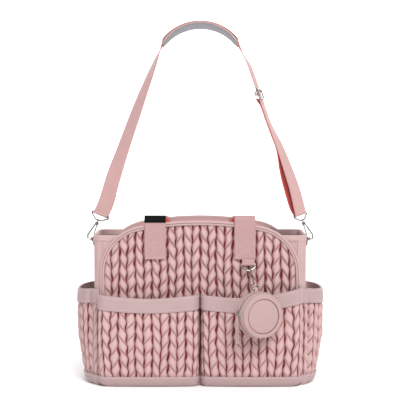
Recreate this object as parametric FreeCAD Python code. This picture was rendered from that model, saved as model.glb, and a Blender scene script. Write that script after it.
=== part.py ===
"""A quilted tote diaper bag with a shoulder strap, grab handles, five pockets and a clip-on pouch.

Millimetres. +Z is up, -Y is the front of the bag, and the origin is the middle of its underside.
"""

import FreeCAD
import Part

import math
import os

V = FreeCAD.Vector
X_AXIS, Y_AXIS, Z_AXIS = V(1, 0, 0), V(0, 1, 0), V(0, 0, 1)

# ---- driving dimensions -------------------------------------------------------------------------
BODY_W, BODY_D = 386.0, 165.0  # the bag's body across its gussets and from front wall to rear wall
CORNER_R = 14.0  # plan radius of the body's four corners
RIM_Z = 273.0  # top of the gussets' bound rim
WALL = 2.5  # outer fabric with its foam
LINING = 1.0
BOARD = 3.0  # stiff board in the bottom
SEAM_X = 176.0  # seam between gusset and front wall
ARCH_HALF, ARCH_TOP = 180.0, 298.0  # the arched quilted panels
ARCH_CORNER_R, ARCH_CROWN_R = 85.0, 600.0
QUILT = 6.5  # thickness of a quilted panel's puffs
BINDING = 7.0  # width of the arch binding on the panel's face
BASE_Z = 18.0  # top of the plain band round the bottom
BAND_H = 25.0  # webbing band along each pocket's mouth
HANDLE_W, HANDLE_T = 38.0, 2.0
HANDLE_X = 81.0  # centre of each handle leg
HANDLE_FOOT_Z = 230.0
STRAP_W, STRAP_T = 32.0, 1.8
STRAP_LEAN = -8.0  # degrees about +X: the raised strap leans a little to the rear
PAD_END_X, PAD_END_Z, PAD_RISE = 72.0, 626.0, 38.7
POUCH_R, POUCH_T, POUCH_TURN = 41.0, 21.0, 27.0
POUCH_CENTRE = V(106, -145.6, 136)
RING_R = 13.0  # D-rings, to the middle of the wire
WIRE_R = 1.5

WALL_Y = BODY_D / 2  # outer face of the front wall is at -WALL_Y
QUILT_Y = WALL_Y + QUILT
PARTS = "parts"


# ---- small helpers ------------------------------------------------------------------------------
def box(x0, x1, y0, y1, z0, z1):
    return Part.makeBox(x1 - x0, y1 - y0, z1 - z0, V(x0, y0, z0))


def rod(a, b, radius):
    """A round bar from a to b."""
    return Part.makeCylinder(radius, (b - a).Length, a, b - a)


def bent_rod(points, radius):
    """A round bar along straight runs, with a ball at each corner and at both ends."""
    pieces = [rod(a, b, radius) for a, b in zip(points, points[1:])]
    pieces += [Part.makeSphere(radius, p) for p in points]
    return pieces[0].multiFuse(pieces[1:]).removeSplitter()


def tube(middle, axis, inner, outer, length):
    """A short tube centred on middle."""
    start = middle - axis * (length / 2)
    return Part.makeCylinder(outer, length, start, axis).cut(Part.makeCylinder(inner, length, start, axis))


def mirrored(shape, normal):
    return shape.mirror(V(0, 0, 0), normal)


def rounded_block(grow, z0, z1):
    """The body's rounded plan, grown outward, from z0 to z1."""
    w, d, r = BODY_W / 2 + grow, BODY_D / 2 + grow, CORNER_R + grow
    block = box(-w, w, -d, d, z0, z1)
    upright = [e for e in block.Edges if abs(e.tangentAt(e.FirstParameter).z) > 0.99]
    return block.makeFillet(r, upright)


def rounded_ring(outer_grow, inner_grow, z0, z1):
    return rounded_block(outer_grow, z0, z1).cut(rounded_block(inner_grow, z0 - 1, z1 + 1))


def arch_block(grow, foot, y0, y1):
    """The arched outline, grown outward, standing on z = foot and filling y0 to y1."""
    crown = V(0, y0, ARCH_TOP - ARCH_CROWN_R)
    corner_x = ARCH_HALF - ARCH_CORNER_R
    reach = ARCH_CROWN_R - ARCH_CORNER_R
    corner_z = crown.z + math.sqrt(reach**2 - corner_x**2)
    radius, half = ARCH_CORNER_R + grow, ARCH_HALF + grow
    joint_angle = math.atan2(corner_z - crown.z, corner_x)

    def corner_point(angle, side):
        return V(side * (corner_x + radius * math.cos(angle)), y0, corner_z + radius * math.sin(angle))

    right = [corner_point(a, 1) for a in (0, joint_angle / 2, joint_angle)]
    left = [corner_point(a, -1) for a in (joint_angle, joint_angle / 2, 0)]
    top = V(0, y0, ARCH_TOP + grow)
    edges = [
        Part.LineSegment(V(-half, y0, foot), V(half, y0, foot)),
        Part.LineSegment(V(half, y0, foot), right[0]),
        Part.Arc(*right),
        Part.Arc(right[2], top, left[0]),
        Part.Arc(*left),
        Part.LineSegment(left[2], V(-half, y0, foot)),
    ]
    wire = Part.Wire([e.toShape() for e in edges])
    return Part.Face(wire).extrude(V(0, y1 - y0, 0))


def ribbon(stations, n0, n1, widths):
    """A flat strap through stations of (point, width direction, normal), from n0 to n1 along the normal."""
    wires = []
    for (p, w, n), width in zip(stations, widths):
        edge, low, high = w * (width / 2), n * n0, n * n1
        corners = [p - edge + low, p + edge + low, p + edge + high, p - edge + high]
        wires.append(Part.makePolygon(corners + corners[:1]))
    return Part.makeLoft(wires, True, True)


def smooth_run(points, turns, per_gap=4):
    """Points and turn angles eased between the given ones, along a smooth curve."""
    curve = Part.BSplineCurve()
    knots = [float(i) for i in range(len(points))]
    curve.interpolate(Points=points, Parameters=knots)
    found = []
    for i in range((len(points) - 1) * per_gap + 1):
        at = i / per_gap
        k = min(int(at), len(points) - 2)
        turn = turns[k] + (turns[k + 1] - turns[k]) * (at - k)
        found.append((curve.value(at), curve.tangent(at)[0], turn))
    return found


# ---- the bag's body -----------------------------------------------------------------------------
def body_parts():
    below_rim = RIM_Z - 1.5
    floor_z = WALL + BOARD
    side = box(-BODY_W, -SEAM_X, -BODY_D, BODY_D, 0, RIM_Z + 1)
    ring = rounded_ring(0, -WALL, WALL, below_rim)
    gusset = ring.common(side)

    between_seams = box(-SEAM_X, SEAM_X, -BODY_D, BODY_D, 0, ARCH_TOP + 1)
    straight = box(-SEAM_X, SEAM_X, -WALL_Y, -WALL_Y + WALL, WALL, below_rim)
    wall = straight.fuse(arch_block(0, WALL, -WALL_Y, -WALL_Y + WALL)).common(between_seams)
    wall = wall.removeSplitter()

    lining_y = -WALL_Y + WALL
    lining = rounded_block(-WALL, floor_z, below_rim)
    lining = lining.cut(rounded_block(-WALL - LINING, floor_z + LINING, RIM_Z))
    lining_arch = arch_block(0, floor_z, lining_y, lining_y + LINING).common(between_seams)
    lining = lining.fuse(lining_arch).fuse(mirrored(lining_arch, Y_AXIS)).removeSplitter()

    channel = rounded_ring(0.8, -WALL - LINING - 1, RIM_Z - 10.5, RIM_Z)
    channel = channel.cut(rounded_ring(0, -WALL - LINING, 0, below_rim))
    channel = channel.cut(arch_block(2, 0, -BODY_D, BODY_D))

    return {
        "base_panel": rounded_block(0, 0, WALL),
        "base_board": rounded_block(-WALL - 0.2, WALL, floor_z),
        "left_gusset": gusset,
        "right_gusset": mirrored(gusset, X_AXIS),
        "front_wall": wall,
        "rear_wall": mirrored(wall, Y_AXIS),
        "lining": lining,
        "rim_bindings": channel,
    }


def panel_parts():
    panel = arch_block(-BINDING, BASE_Z, -QUILT_Y, -WALL_Y)

    def band(outer, inner, y0, y1, foot):
        return arch_block(outer, foot, y0, y1).cut(arch_block(inner, foot - 1, y0 - 1, y1 + 1))

    above_rim = RIM_Z + 0.5
    inside_y = -WALL_Y + WALL + LINING
    binding_foot = 150.0
    binding = band(1.5, -BINDING, -QUILT_Y + 1, -WALL_Y, binding_foot)
    free_edge = band(1.5, 0, -WALL_Y, inside_y + 1.2, binding_foot)
    inner_edge = band(1.5, 1 - BINDING, inside_y, inside_y + 1.2, binding_foot)
    top = box(-BODY_W, BODY_W, -BODY_D, BODY_D, above_rim, ARCH_TOP + 5)
    binding = binding.fuse([free_edge.common(top), inner_edge.common(top)]).removeSplitter()

    rear_base = box(-SEAM_X, SEAM_X, WALL_Y, QUILT_Y, 1, BASE_Z)
    return {
        "front_quilted_panel": panel,
        "rear_quilted_panel": mirrored(panel, Y_AXIS),
        "front_arch_binding": binding,
        "rear_arch_binding": mirrored(binding, Y_AXIS),
        "rear_base_band": rear_base,
    }


# ---- pockets ------------------------------------------------------------------------------------
FRONT_POCKET_X = (-184.0, -2.0)
FRONT_POCKET_TOP = 168.0
SIDE_POCKET_Y = 76.0
SIDE_POCKET_TOP = 176.0
# how far each pocket bulges: (height, depth), from its foot to its mouth
FRONT_LEVELS = [(1.0, 20.0), (BASE_Z, 24.0), (80.0, 31.0), (FRONT_POCKET_TOP - BAND_H, 30.0),
                (FRONT_POCKET_TOP, 27.0)]
SIDE_LEVELS = [(1.0, 17.0), (BASE_Z, 21.0), (90.0, 33.0), (SIDE_POCKET_TOP - BAND_H, 33.5),
               (SIDE_POCKET_TOP, 32.0)]


def front_outline(z, depth, inset):
    """Plan of the left front pocket at height z: it bulges forward of the wall by depth."""
    x0, x1 = FRONT_POCKET_X[0] + inset, FRONT_POCKET_X[1] - inset
    front, corner, crown = -WALL_Y - depth + inset, 15.0 - inset, 3.0
    slant = corner * (1 - math.sqrt(0.5))
    a, b = V(x0, -WALL_Y, z), V(x0, front + corner, z)
    c, d = V(x0 + corner, front, z), V(x1 - corner, front, z)
    e, f = V(x1, front + corner, z), V(x1, -WALL_Y, z)
    edges = [
        Part.LineSegment(a, b),
        Part.Arc(b, V(x0 + slant, front + slant, z), c),
        Part.Arc(c, V((x0 + x1) / 2, front - crown, z), d),
        Part.Arc(d, V(x1 - slant, front + slant, z), e),
        Part.LineSegment(e, f),
        Part.LineSegment(f, a),
    ]
    return Part.Wire([g.toShape() for g in edges])


def side_outline(z, depth, inset):
    """Plan of the left side pocket at height z: it bulges out of the gusset by depth."""
    out, y = -BODY_W / 2 - depth + inset, SIDE_POCKET_Y - inset
    shoulder, crown = y - 26.0, 2.0
    a, b = V(-BODY_W / 2, -y, z), V(out, -shoulder, z)
    c, d = V(out, shoulder, z), V(-BODY_W / 2, y, z)
    lean_x, lean_y = out + 0.22 * depth, shoulder + 14.0
    edges = [
        Part.Arc(a, V(lean_x, -lean_y, z), b),
        Part.Arc(b, V(out - crown, 0, z), c),
        Part.Arc(c, V(lean_x, lean_y, z), d),
        Part.LineSegment(d, a),
    ]
    return Part.Wire([g.toShape() for g in edges])


def pocket_shell(outline, levels, outer, inner, floor=0.0):
    """A pocket's wall between two insets of its outline; a floor of that thickness closes it below."""
    solid = Part.makeLoft([outline(z, d, outer) for z, d in levels], True, len(levels) < 3)
    hollow = [(z, d) for z, d in levels]
    if floor:
        hollow[0] = (hollow[0][0] + floor, hollow[0][1])
    core = Part.makeLoft([outline(z, d, inner) for z, d in hollow], True, len(levels) < 3)
    return solid.cut(core)


def pocket_parts(behind):
    """Every pocket; behind is the panel and binding the front pockets are sewn over."""
    found = {}
    kinds = (("front", front_outline, FRONT_LEVELS), ("side", side_outline, SIDE_LEVELS))
    for name, outline, levels in kinds:
        base = pocket_shell(outline, levels[:2], 1.0, 4.0, floor=3.0)
        quilt = pocket_shell(outline, levels[1:4], 0.0, 5.0)
        band = pocket_shell(outline, levels[3:], 1.0, 4.0)
        if name == "front":
            quilt, band = quilt.cut(behind), band.cut(behind)
        left = {"front": "front_left_pocket", "side": "left_side_pocket"}[name]
        right = {"front": "front_right_pocket", "side": "right_side_pocket"}[name]
        found[left] = quilt
        found[right] = mirrored(quilt, X_AXIS)
        found[left + "_band"] = band
        found[right + "_band"] = mirrored(band, X_AXIS)
        found[name + "_base_bands"] = Part.makeCompound([base, mirrored(base, X_AXIS)])
    return found


def inner_parts():
    face = WALL_Y - WALL - LINING
    pocket = box(-110, 110, face - 4.5, face, 60, 165).cut(box(-108, 108, face - 3.5, face + 1, 62, 166))
    disc = Part.makeCylinder(9, 2, V(0, face - 2, 262), Y_AXIS)
    return {
        "inner_slip_pocket": pocket,
        "magnetic_snaps": Part.makeCompound([disc, mirrored(disc, Y_AXIS)]),
    }


# ---- grab handles -------------------------------------------------------------------------------
HINGE_Y = -83.0  # a front handle folds over the panel's edge about this line
BEND_R = QUILT_Y + HINGE_Y  # half the fold's inside width, from the quilted face
FRONT_FOLD = (300.0, BEND_R)  # height of the hinge line, and inner radius of the fold's corners
REAR_FOLD = (294.5, 2.3)  # the rear handle lies closer to its panel's edge
LOOP_GAP = 7.2  # the free loop starts this far below the fold's end, clear of the fold at every angle
LOOP_DROP = 108.0


def handle_leg(x, bend_z, fold_r):
    """One stitched leg, up the panel's face and over its top edge."""
    x0, x1 = x - HANDLE_W / 2, x + HANDLE_W / 2
    front, back = -QUILT_Y + fold_r, HINGE_Y + BEND_R - fold_r
    strip = box(x0, x1, -QUILT_Y - HANDLE_T, -QUILT_Y, HANDLE_FOOT_Z, bend_z)
    pieces = []
    for y, y0, y1 in ((front, -BODY_D, front), (back, back, 0)):
        bend = tube(V(x, y, bend_z), X_AXIS, fold_r, fold_r + HANDLE_T, HANDLE_W)
        pieces.append(bend.common(box(x0, x1, y0, y1, bend_z, bend_z + BEND_R + HANDLE_T)))
    if back > front:
        pieces.append(box(x0, x1, front, back, bend_z + fold_r, bend_z + fold_r + HANDLE_T))
    return strip.multiFuse(pieces).removeSplitter()


def handle_loop(bend_z):
    """The free loop hanging inside the bag: flat at its ends, and edge-on where a hand holds it."""
    stations = []
    steps = 16
    start_y, start_z = HINGE_Y + BEND_R + HANDLE_T / 2, bend_z - LOOP_GAP
    for i in range(steps + 1):
        t = math.pi * i / steps
        point = V(-HANDLE_X * math.cos(t), start_y + 20 * math.sin(t), start_z - LOOP_DROP * math.sin(t))
        along = V(HANDLE_X * math.sin(t), 20 * math.cos(t), -LOOP_DROP * math.cos(t)).normalize()
        across = V(math.cos(t), math.sin(t), 0)
        across = (across - along * across.dot(along)).normalize()
        stations.append((point, across, across.cross(along)))
    return ribbon(stations, -HANDLE_T / 2, HANDLE_T / 2, [HANDLE_W] * len(stations))


def handle_parts():
    front_legs = Part.makeCompound([handle_leg(x, *FRONT_FOLD) for x in (-HANDLE_X, HANDLE_X)])
    rear_legs = Part.makeCompound([handle_leg(x, *REAR_FOLD) for x in (-HANDLE_X, HANDLE_X)])
    bend_z = FRONT_FOLD[0]
    x0, x1 = -HANDLE_X - HANDLE_W / 2 - 0.5, -HANDLE_X + HANDLE_W / 2 + 0.5
    skin = BEND_R + HANDLE_T
    over_top = tube(V(-HANDLE_X, HINGE_Y, bend_z), X_AXIS, skin, skin + 1, HANDLE_W + 1)
    over_top = over_top.common(box(x0, x1, -BODY_D, HINGE_Y + 1, bend_z, bend_z + 2 * skin))
    label = box(x0, x1, HINGE_Y - skin - 1, HINGE_Y - skin, bend_z - 4, bend_z).fuse(over_top)
    return {
        "front_handle_legs": front_legs,
        "rear_handle_legs": mirrored(rear_legs, Y_AXIS),
        "front_handle_loop": handle_loop(FRONT_FOLD[0]),
        "rear_handle_loop": mirrored(handle_loop(REAR_FOLD[0]), Y_AXIS),
        "handle_label": label.removeSplitter(),
    }


# ---- D-rings and their tabs ---------------------------------------------------------------------
RING_X, RING_Z, RING_TILT = -196.8, 252.0, -30.0  # left side ring's bar, and how far the ring leans outward
TAB_W = 22.0


def d_ring(radius):
    """A half ring standing on a straight bar along Y, both centred on the origin."""
    arc = Part.makeTorus(radius, WIRE_R, V(0, 0, 0), X_AXIS)
    arc = arc.common(box(-5, 5, -2 * radius, 2 * radius, 0, 2 * radius))
    ends = [V(0, -radius, 0), V(0, radius, 0)]
    return arc.fuse(bent_rod(ends, WIRE_R)).removeSplitter()


def side_ring_parts():
    bar = V(RING_X, 0, RING_Z)
    ring = d_ring(RING_R)
    ring.rotate(V(0, 0, 0), Y_AXIS, RING_TILT)
    ring.translate(bar)
    face = -BODY_W / 2
    half = TAB_W / 2
    eye = tube(bar, Y_AXIS, WIRE_R + 0.1, WIRE_R + 1.4, TAB_W)
    plies = box(face - 3.0, face, -half, half, 217, RING_Z - 1)
    tab = plies.fuse(eye).cut(Part.makeCylinder(WIRE_R + 0.1, TAB_W, bar - Y_AXIS * half, Y_AXIS))
    return {
        "left_d_ring": ring,
        "right_d_ring": mirrored(ring, X_AXIS),
        "d_ring_tabs": Part.makeCompound([tab, mirrored(tab, X_AXIS)]),
    }


# ---- snap hooks ---------------------------------------------------------------------------------
CLAW_TILT = math.radians(23)
CLAW_FOOT = V(-205.4, 0, 259.6)  # middle of the claw's lowest wire, left side
CLAW_AXIS = V(math.sin(CLAW_TILT), 0, math.cos(CLAW_TILT))
CLAW_SIDE = V(math.cos(CLAW_TILT), 0, -math.sin(CLAW_TILT))  # towards the bag
PIVOT = V(0, 0, CLAW_FOOT.z)  # the strap swings about the line along X through this point
SWIVEL_S = (29.0, 35.0)
LOOP_S = (39.0, 51.0)
LEFT_LOOP_TURN, RIGHT_LOOP_TURN = 66.0, 45.0  # degrees from edge-on, seen from the front


def claw_point(t, s):
    """A point of the left claw: t across it, towards the bag, and s up its axis."""
    return CLAW_FOOT + CLAW_SIDE * t + CLAW_AXIS * s


def lean(shape):
    shape.rotate(PIVOT, X_AXIS, STRAP_LEAN)
    return shape


def claw():
    route = ((-2, 30), (-7, 6), (-4, 0), (4.4, 0), (5.0, 2.4), (4.8, 7.6))
    frame = bent_rod([claw_point(*p) for p in route], WIRE_R)
    head = rod(claw_point(0, SWIVEL_S[0]), claw_point(0, SWIVEL_S[1]), 3.4)
    slot = rod(claw_point(1.7, 30.4), claw_point(1.9, 25), 1.9)
    post = rod(claw_point(0, SWIVEL_S[1]), claw_point(0, SWIVEL_S[1] + 1.8), 1.2)
    return frame.fuse([head, post]).cut(slot).removeSplitter()


def gate():
    return bent_rod([claw_point(1.2, 29.2), claw_point(1.7, 26.5), claw_point(3.5, 10.6)], 1.1)


def loop_axes(turn_deg):
    """Width direction and outward normal of the left strap loop, turned about the claw's axis."""
    turn = math.radians(turn_deg)
    normal = CLAW_SIDE * -math.cos(turn) + V(0, -math.sin(turn), 0)
    return CLAW_AXIS.cross(normal) * -1, normal


def strap_loop(turn_deg):
    """The metal loop that holds the webbing, with the collar that turns on the claw's post."""
    wide, _ = loop_axes(turn_deg)
    base, top = claw_point(0, LOOP_S[0]), claw_point(0, LOOP_S[1])
    half_base, half_top = 6.0, STRAP_W / 2 + 2.2
    frame = bent_rod(
        [base - wide * half_base, top - CLAW_AXIS * 4 - wide * half_top, top - wide * half_top,
         top + wide * half_top, top - CLAW_AXIS * 4 + wide * half_top, base + wide * half_base,
         base - wide * half_base], WIRE_R)
    collar = rod(claw_point(0, SWIVEL_S[1] + 2.0), claw_point(0, LOOP_S[0]), 3.0)
    return frame.fuse(collar).removeSplitter()


def hook_parts():
    left_claw, left_gate = lean(claw()), lean(gate())
    return {
        "left_claw": left_claw,
        "right_claw": mirrored(left_claw, X_AXIS),
        "left_gate": left_gate,
        "right_gate": mirrored(left_gate, X_AXIS),
        "left_strap_loop": lean(strap_loop(LEFT_LOOP_TURN)),
        "right_strap_loop": mirrored(lean(strap_loop(RIGHT_LOOP_TURN)), X_AXIS),
    }


# ---- shoulder strap -----------------------------------------------------------------------------
PLY = STRAP_T / 2
BAR_WRAP = WIRE_R + 0.1 + STRAP_T  # outer radius of the webbing round a loop's bar
SLIDER_AT = V(110.8, 0, 532.0)
SLIDER_ALONG = V(0.321, 0, -0.947).normalize()  # down the strap at the slider
SLIDER_TURN = 15.0
SLIDER_REACH = 56.0  # the webbing is straight this far each side of the slider
SLIDER_BAR_R = 1.25
SLIDER_BAR_OUT = -4.4  # its middle bar, behind the middle of the outer ply
RETURN_OUT, RETURN_BOW = -9.0, -6.0  # the return ply runs this far behind the outer one, and bows further
BAR_OFFSET = WIRE_R + 0.1 + PLY


def strap_station(point, along, turn_deg, side):
    """side is 1 on the right leg and -1 on the left; the outer face turns to the front by turn_deg."""
    along = V(along).normalize()
    outward = V(-along.z * side, 0, along.x * side)
    turn = math.radians(turn_deg)
    normal = outward * math.cos(turn) - Y_AXIS * math.sin(turn)
    return point, along.cross(normal), normal


def left_webbing(bar):
    """From the left loop's bar, where it is folded back and stitched, to the pad."""
    wide, normal = loop_axes(LEFT_LOOP_TURN)
    fold_top = bar + CLAW_AXIS * 26
    points = [V(-PAD_END_X, 0, PAD_END_Z), V(-87, 0, 588), V(-115, 0, 513), V(-145, 0, 427),
              V(-161, 0, 379), V(fold_top.x, 0, fold_top.z)]
    turns = [0, 19, 38, 50, 62, LEFT_LOOP_TURN]
    stations = [strap_station(p, along, turn, -1) for p, along, turn in smooth_run(points, turns)]
    stations[-1] = (fold_top, wide, normal)
    single = ribbon(stations, -PLY, PLY, [STRAP_W] * len(stations))
    ends = [(fold_top, wide, normal), (bar + CLAW_AXIS * 2.2, wide, normal)]
    doubled = ribbon(ends, -STRAP_T, STRAP_T, [STRAP_W] * 2)
    eye = tube(bar, wide, WIRE_R + 0.1, BAR_WRAP, STRAP_W)
    return single.fuse([doubled, eye]).cut(rod(bar - wide * 20, bar + wide * 20, WIRE_R + 0.1))


def right_stations(bar, wide, normal):
    """The outer ply on the right: pad, straight stretch through the slider, then down to the loop's bar."""
    reach = SLIDER_ALONG * SLIDER_REACH
    top, foot = SLIDER_AT - reach, SLIDER_AT + reach
    upper = smooth_run([V(PAD_END_X, 0, PAD_END_Z), V(83, 0, 603), top], [0, 8, SLIDER_TURN], 2)
    end = bar + normal * BAR_OFFSET
    low_points = [foot, V(149, 0, 432), V(166, 0, 385), V(178, 0, 347), end]
    lower = smooth_run(low_points, [SLIDER_TURN, 27, 36, 41, RIGHT_LOOP_TURN], 3)
    stations = [strap_station(p, along, turn, 1) for p, along, turn in upper[:-1]]
    stations += [strap_station(p, SLIDER_ALONG, SLIDER_TURN, 1) for p in (top, foot)]
    stations += [strap_station(p, along, turn, 1) for p, along, turn in lower[1:-1]]
    stations.append((end, wide, normal))
    return stations


def pad_stations():
    steps = 18
    stations, widths = [], []
    radius = (PAD_END_X**2 + PAD_RISE**2) / (2 * PAD_RISE)
    half_angle = math.asin(PAD_END_X / radius)
    for i in range(steps + 1):
        angle = half_angle * (2 * i / steps - 1)
        outward = V(math.sin(angle), 0, math.cos(angle))
        middle = V(0, 0, PAD_END_Z + PAD_RISE - radius)
        stations.append((middle + outward * radius, Y_AXIS, outward))
        widths.append(36 + 22 * math.sin(math.pi * i / steps) ** 0.6)
    return stations, widths


def slider_point(across, along, out):
    """A point of the slider, measured from the middle of the outer ply."""
    _, wide, normal = strap_station(SLIDER_AT, SLIDER_ALONG, SLIDER_TURN, 1)
    return SLIDER_AT + wide * across + SLIDER_ALONG * along + normal * out


def slider():
    """A tri-glide: a middle bar behind the webbing and an end bar in front of it above and below."""
    half, bar_out, end_out, reach = STRAP_W / 2 + 1.8, SLIDER_BAR_OUT, 2.5, 9.5
    bars = [rod(slider_point(-half, a, n), slider_point(half, a, n), SLIDER_BAR_R)
            for a, n in ((0, bar_out), (-reach, end_out), (reach, end_out))]
    sides = []
    for s in (-half, half):
        route = [slider_point(s, a, n) for a, n in
                 ((-reach, end_out), (0, bar_out), (reach, end_out), (-reach, end_out))]
        sides.append(bent_rod(route, SLIDER_BAR_R))
    return bars[0].multiFuse(bars[1:] + sides).removeSplitter()


def return_webbing(outer_stations, bar, wide, normal):
    """The inner ply: up from the loop's bar, behind the outer ply, to just past the slider."""
    straight_top = SLIDER_AT - SLIDER_ALONG * 12
    head = strap_station(straight_top, SLIDER_ALONG, SLIDER_TURN, 1)
    straight_foot = (SLIDER_AT + SLIDER_ALONG * SLIDER_REACH).z
    below = [station for station in outer_stations[:-1] if station[0].z < straight_foot + 0.01]
    backs = []
    for p, w, n in [head] + below:
        share = max(0, straight_foot - p.z) / (straight_foot - bar.z)
        backs.append((p + n * (RETURN_OUT + RETURN_BOW * math.sin(math.pi * share)), w, n))
    backs.append((bar - normal * BAR_OFFSET, wide, normal))
    return ribbon(backs, -PLY, PLY, [STRAP_W] * len(backs))


def strap_parts():
    left_bar = claw_point(0, LOOP_S[1])
    right_bar = V(-left_bar.x, 0, left_bar.z)
    wide, normal = loop_axes(RIGHT_LOOP_TURN)
    wide, normal = V(wide.x, -wide.y, -wide.z), V(-normal.x, normal.y, normal.z)
    down = V(CLAW_AXIS.x, 0, -CLAW_AXIS.z)

    stations = right_stations(right_bar, wide, normal)
    outer = ribbon(stations, -PLY, PLY, [STRAP_W] * len(stations))
    eye = tube(right_bar, wide, WIRE_R + 0.1, BAR_WRAP, STRAP_W)
    lower_ends = [(right_bar, wide, normal), (right_bar + down * 5, wide, normal)]
    lower_half = ribbon(lower_ends, -5, 5, [STRAP_W] * 2)
    outer = outer.fuse(eye.common(lower_half))

    bar_middle = slider_point(0, 0, SLIDER_BAR_OUT)
    across = strap_station(SLIDER_AT, SLIDER_ALONG, SLIDER_TURN, 1)[1]
    wrap = tube(bar_middle, across, SLIDER_BAR_R + 0.1, SLIDER_BAR_R + 0.1 + STRAP_T, STRAP_W)

    pads, widths = pad_stations()
    pads_inner = [w - 3 for w in widths]
    found = {
        "left_strap_webbing": left_webbing(left_bar),
        "right_strap_webbing": outer,
        "right_strap_return": return_webbing(stations, right_bar, wide, normal),
        "slider_wrap": wrap,
        "shoulder_pad_cover": ribbon(pads, 0, 3.0, widths),
        "shoulder_pad_foam": ribbon(pads, -4.0, 0, pads_inner),
        "shoulder_pad_lining": ribbon(pads, -5.2, -4.0, widths),
        "strap_slider": slider(),
    }
    pad = found["shoulder_pad_cover"].fuse([found["shoulder_pad_foam"], found["shoulder_pad_lining"]])
    for name in ("left_strap_webbing", "right_strap_webbing"):
        found[name] = found[name].cut(pad)
    return {name: lean(shape) for name, shape in found.items()}


# ---- clip-on pouch ------------------------------------------------------------------------------
CHARM_X, CHARM_Y, CHARM_Z = 87.0, -QUILT_Y - 3.2, 221.0  # bar of the D-ring under the right handle leg
CHARM_TILT = 35.0  # the ring leans forward
CLASP_ANGLE = math.radians(15)  # where the clasp sits on the ring, from its lowest point
TAB_BAR = V(-5.7, 5.7, 45.5)  # where the clasp's eye passes through the pouch's tab, in the pouch's frame
TAB_PLY = 1.0
EYE_R, EYE_WIRE = 6.5, 1.1
PULL_R = POUCH_R + 4.9  # the zip pull hangs from the slider at this radius
ZIP_ANGLE = math.radians(172)  # the zip slider's rest place, from the pouch's right, anticlockwise in front view


def ring_point(angle):
    """A point on the charm ring's arc, angle to the right of its lowest point."""
    drop = RING_R * math.cos(angle)
    tilt = math.radians(CHARM_TILT)
    x = CHARM_X + RING_R * math.sin(angle)
    return V(x, CHARM_Y - drop * math.sin(tilt), CHARM_Z - drop * math.cos(tilt))


def to_pouch(shape):
    """From the pouch's own frame, front towards -Y and centre at the origin, to its place."""
    shape.rotate(V(0, 0, 0), Z_AXIS, POUCH_TURN)
    shape.translate(POUCH_CENTRE)
    return shape


def pouch_half(zip_gap):
    """The rear half: a shallow cup with a piped edge, open towards the zip."""
    half = POUCH_T / 2
    cup = Part.makeCylinder(POUCH_R - 1, half - zip_gap, V(0, zip_gap, 0), Y_AXIS)
    hollow = Part.makeCylinder(POUCH_R - 3.5, half - zip_gap - 2.5, V(0, zip_gap, 0), Y_AXIS)
    piping = Part.makeTorus(POUCH_R - 1, 1.5, V(0, half - 1.5, 0), Y_AXIS)
    return cup.fuse(piping).cut(hollow).removeSplitter()


def clasp_parts():
    """The small lobster clasp from the charm ring to the pouch's tab: hook, sprung gate and swivel eye."""
    turn = math.radians(POUCH_TURN)
    pouch_x = V(math.cos(turn), math.sin(turn), 0)
    pouch_y = V(-pouch_x.y, pouch_x.x, 0)
    tab_at = POUCH_CENTRE + pouch_x * TAB_BAR.x + pouch_y * TAB_BAR.y + Z_AXIS * TAB_BAR.z
    hook_at = ring_point(CLASP_ANGLE)
    axis = (tab_at - hook_at).normalize()
    side = axis.cross(pouch_x).normalize()
    wire = 1.1
    start = hook_at - axis * (WIRE_R + wire + 0.5)

    def at(t, s):
        return start + side * t + axis * s

    route = ((3.2, 5.0), (2.8, 1.4), (0, 0), (-2.8, 1.4), (-4.0, 6.0), (-1.6, 17.0))
    hook = bent_rod([at(*p) for p in route], wire)
    head = rod(at(0, 16.5), at(0, 21.0), 2.6).cut(rod(at(1.2, 17.6), at(2.6, 15.0), 1.2))
    eye_at = (tab_at - start).Length - EYE_R
    post = rod(at(0, 21.0), at(0, 22.6), 1.0)
    stem = rod(at(0, 22.8), at(0, eye_at - EYE_R + 0.4), 1.6)
    eye = Part.makeTorus(EYE_R, EYE_WIRE, at(0, eye_at), side)
    return {
        "charm_clasp": hook.fuse([head, post]).removeSplitter(),
        "charm_clasp_gate": bent_rod([at(1.6, 16.6), at(3.1, 8.0)], 0.8),
        "charm_swivel_eye": eye.fuse(stem).removeSplitter(),
    }


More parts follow.
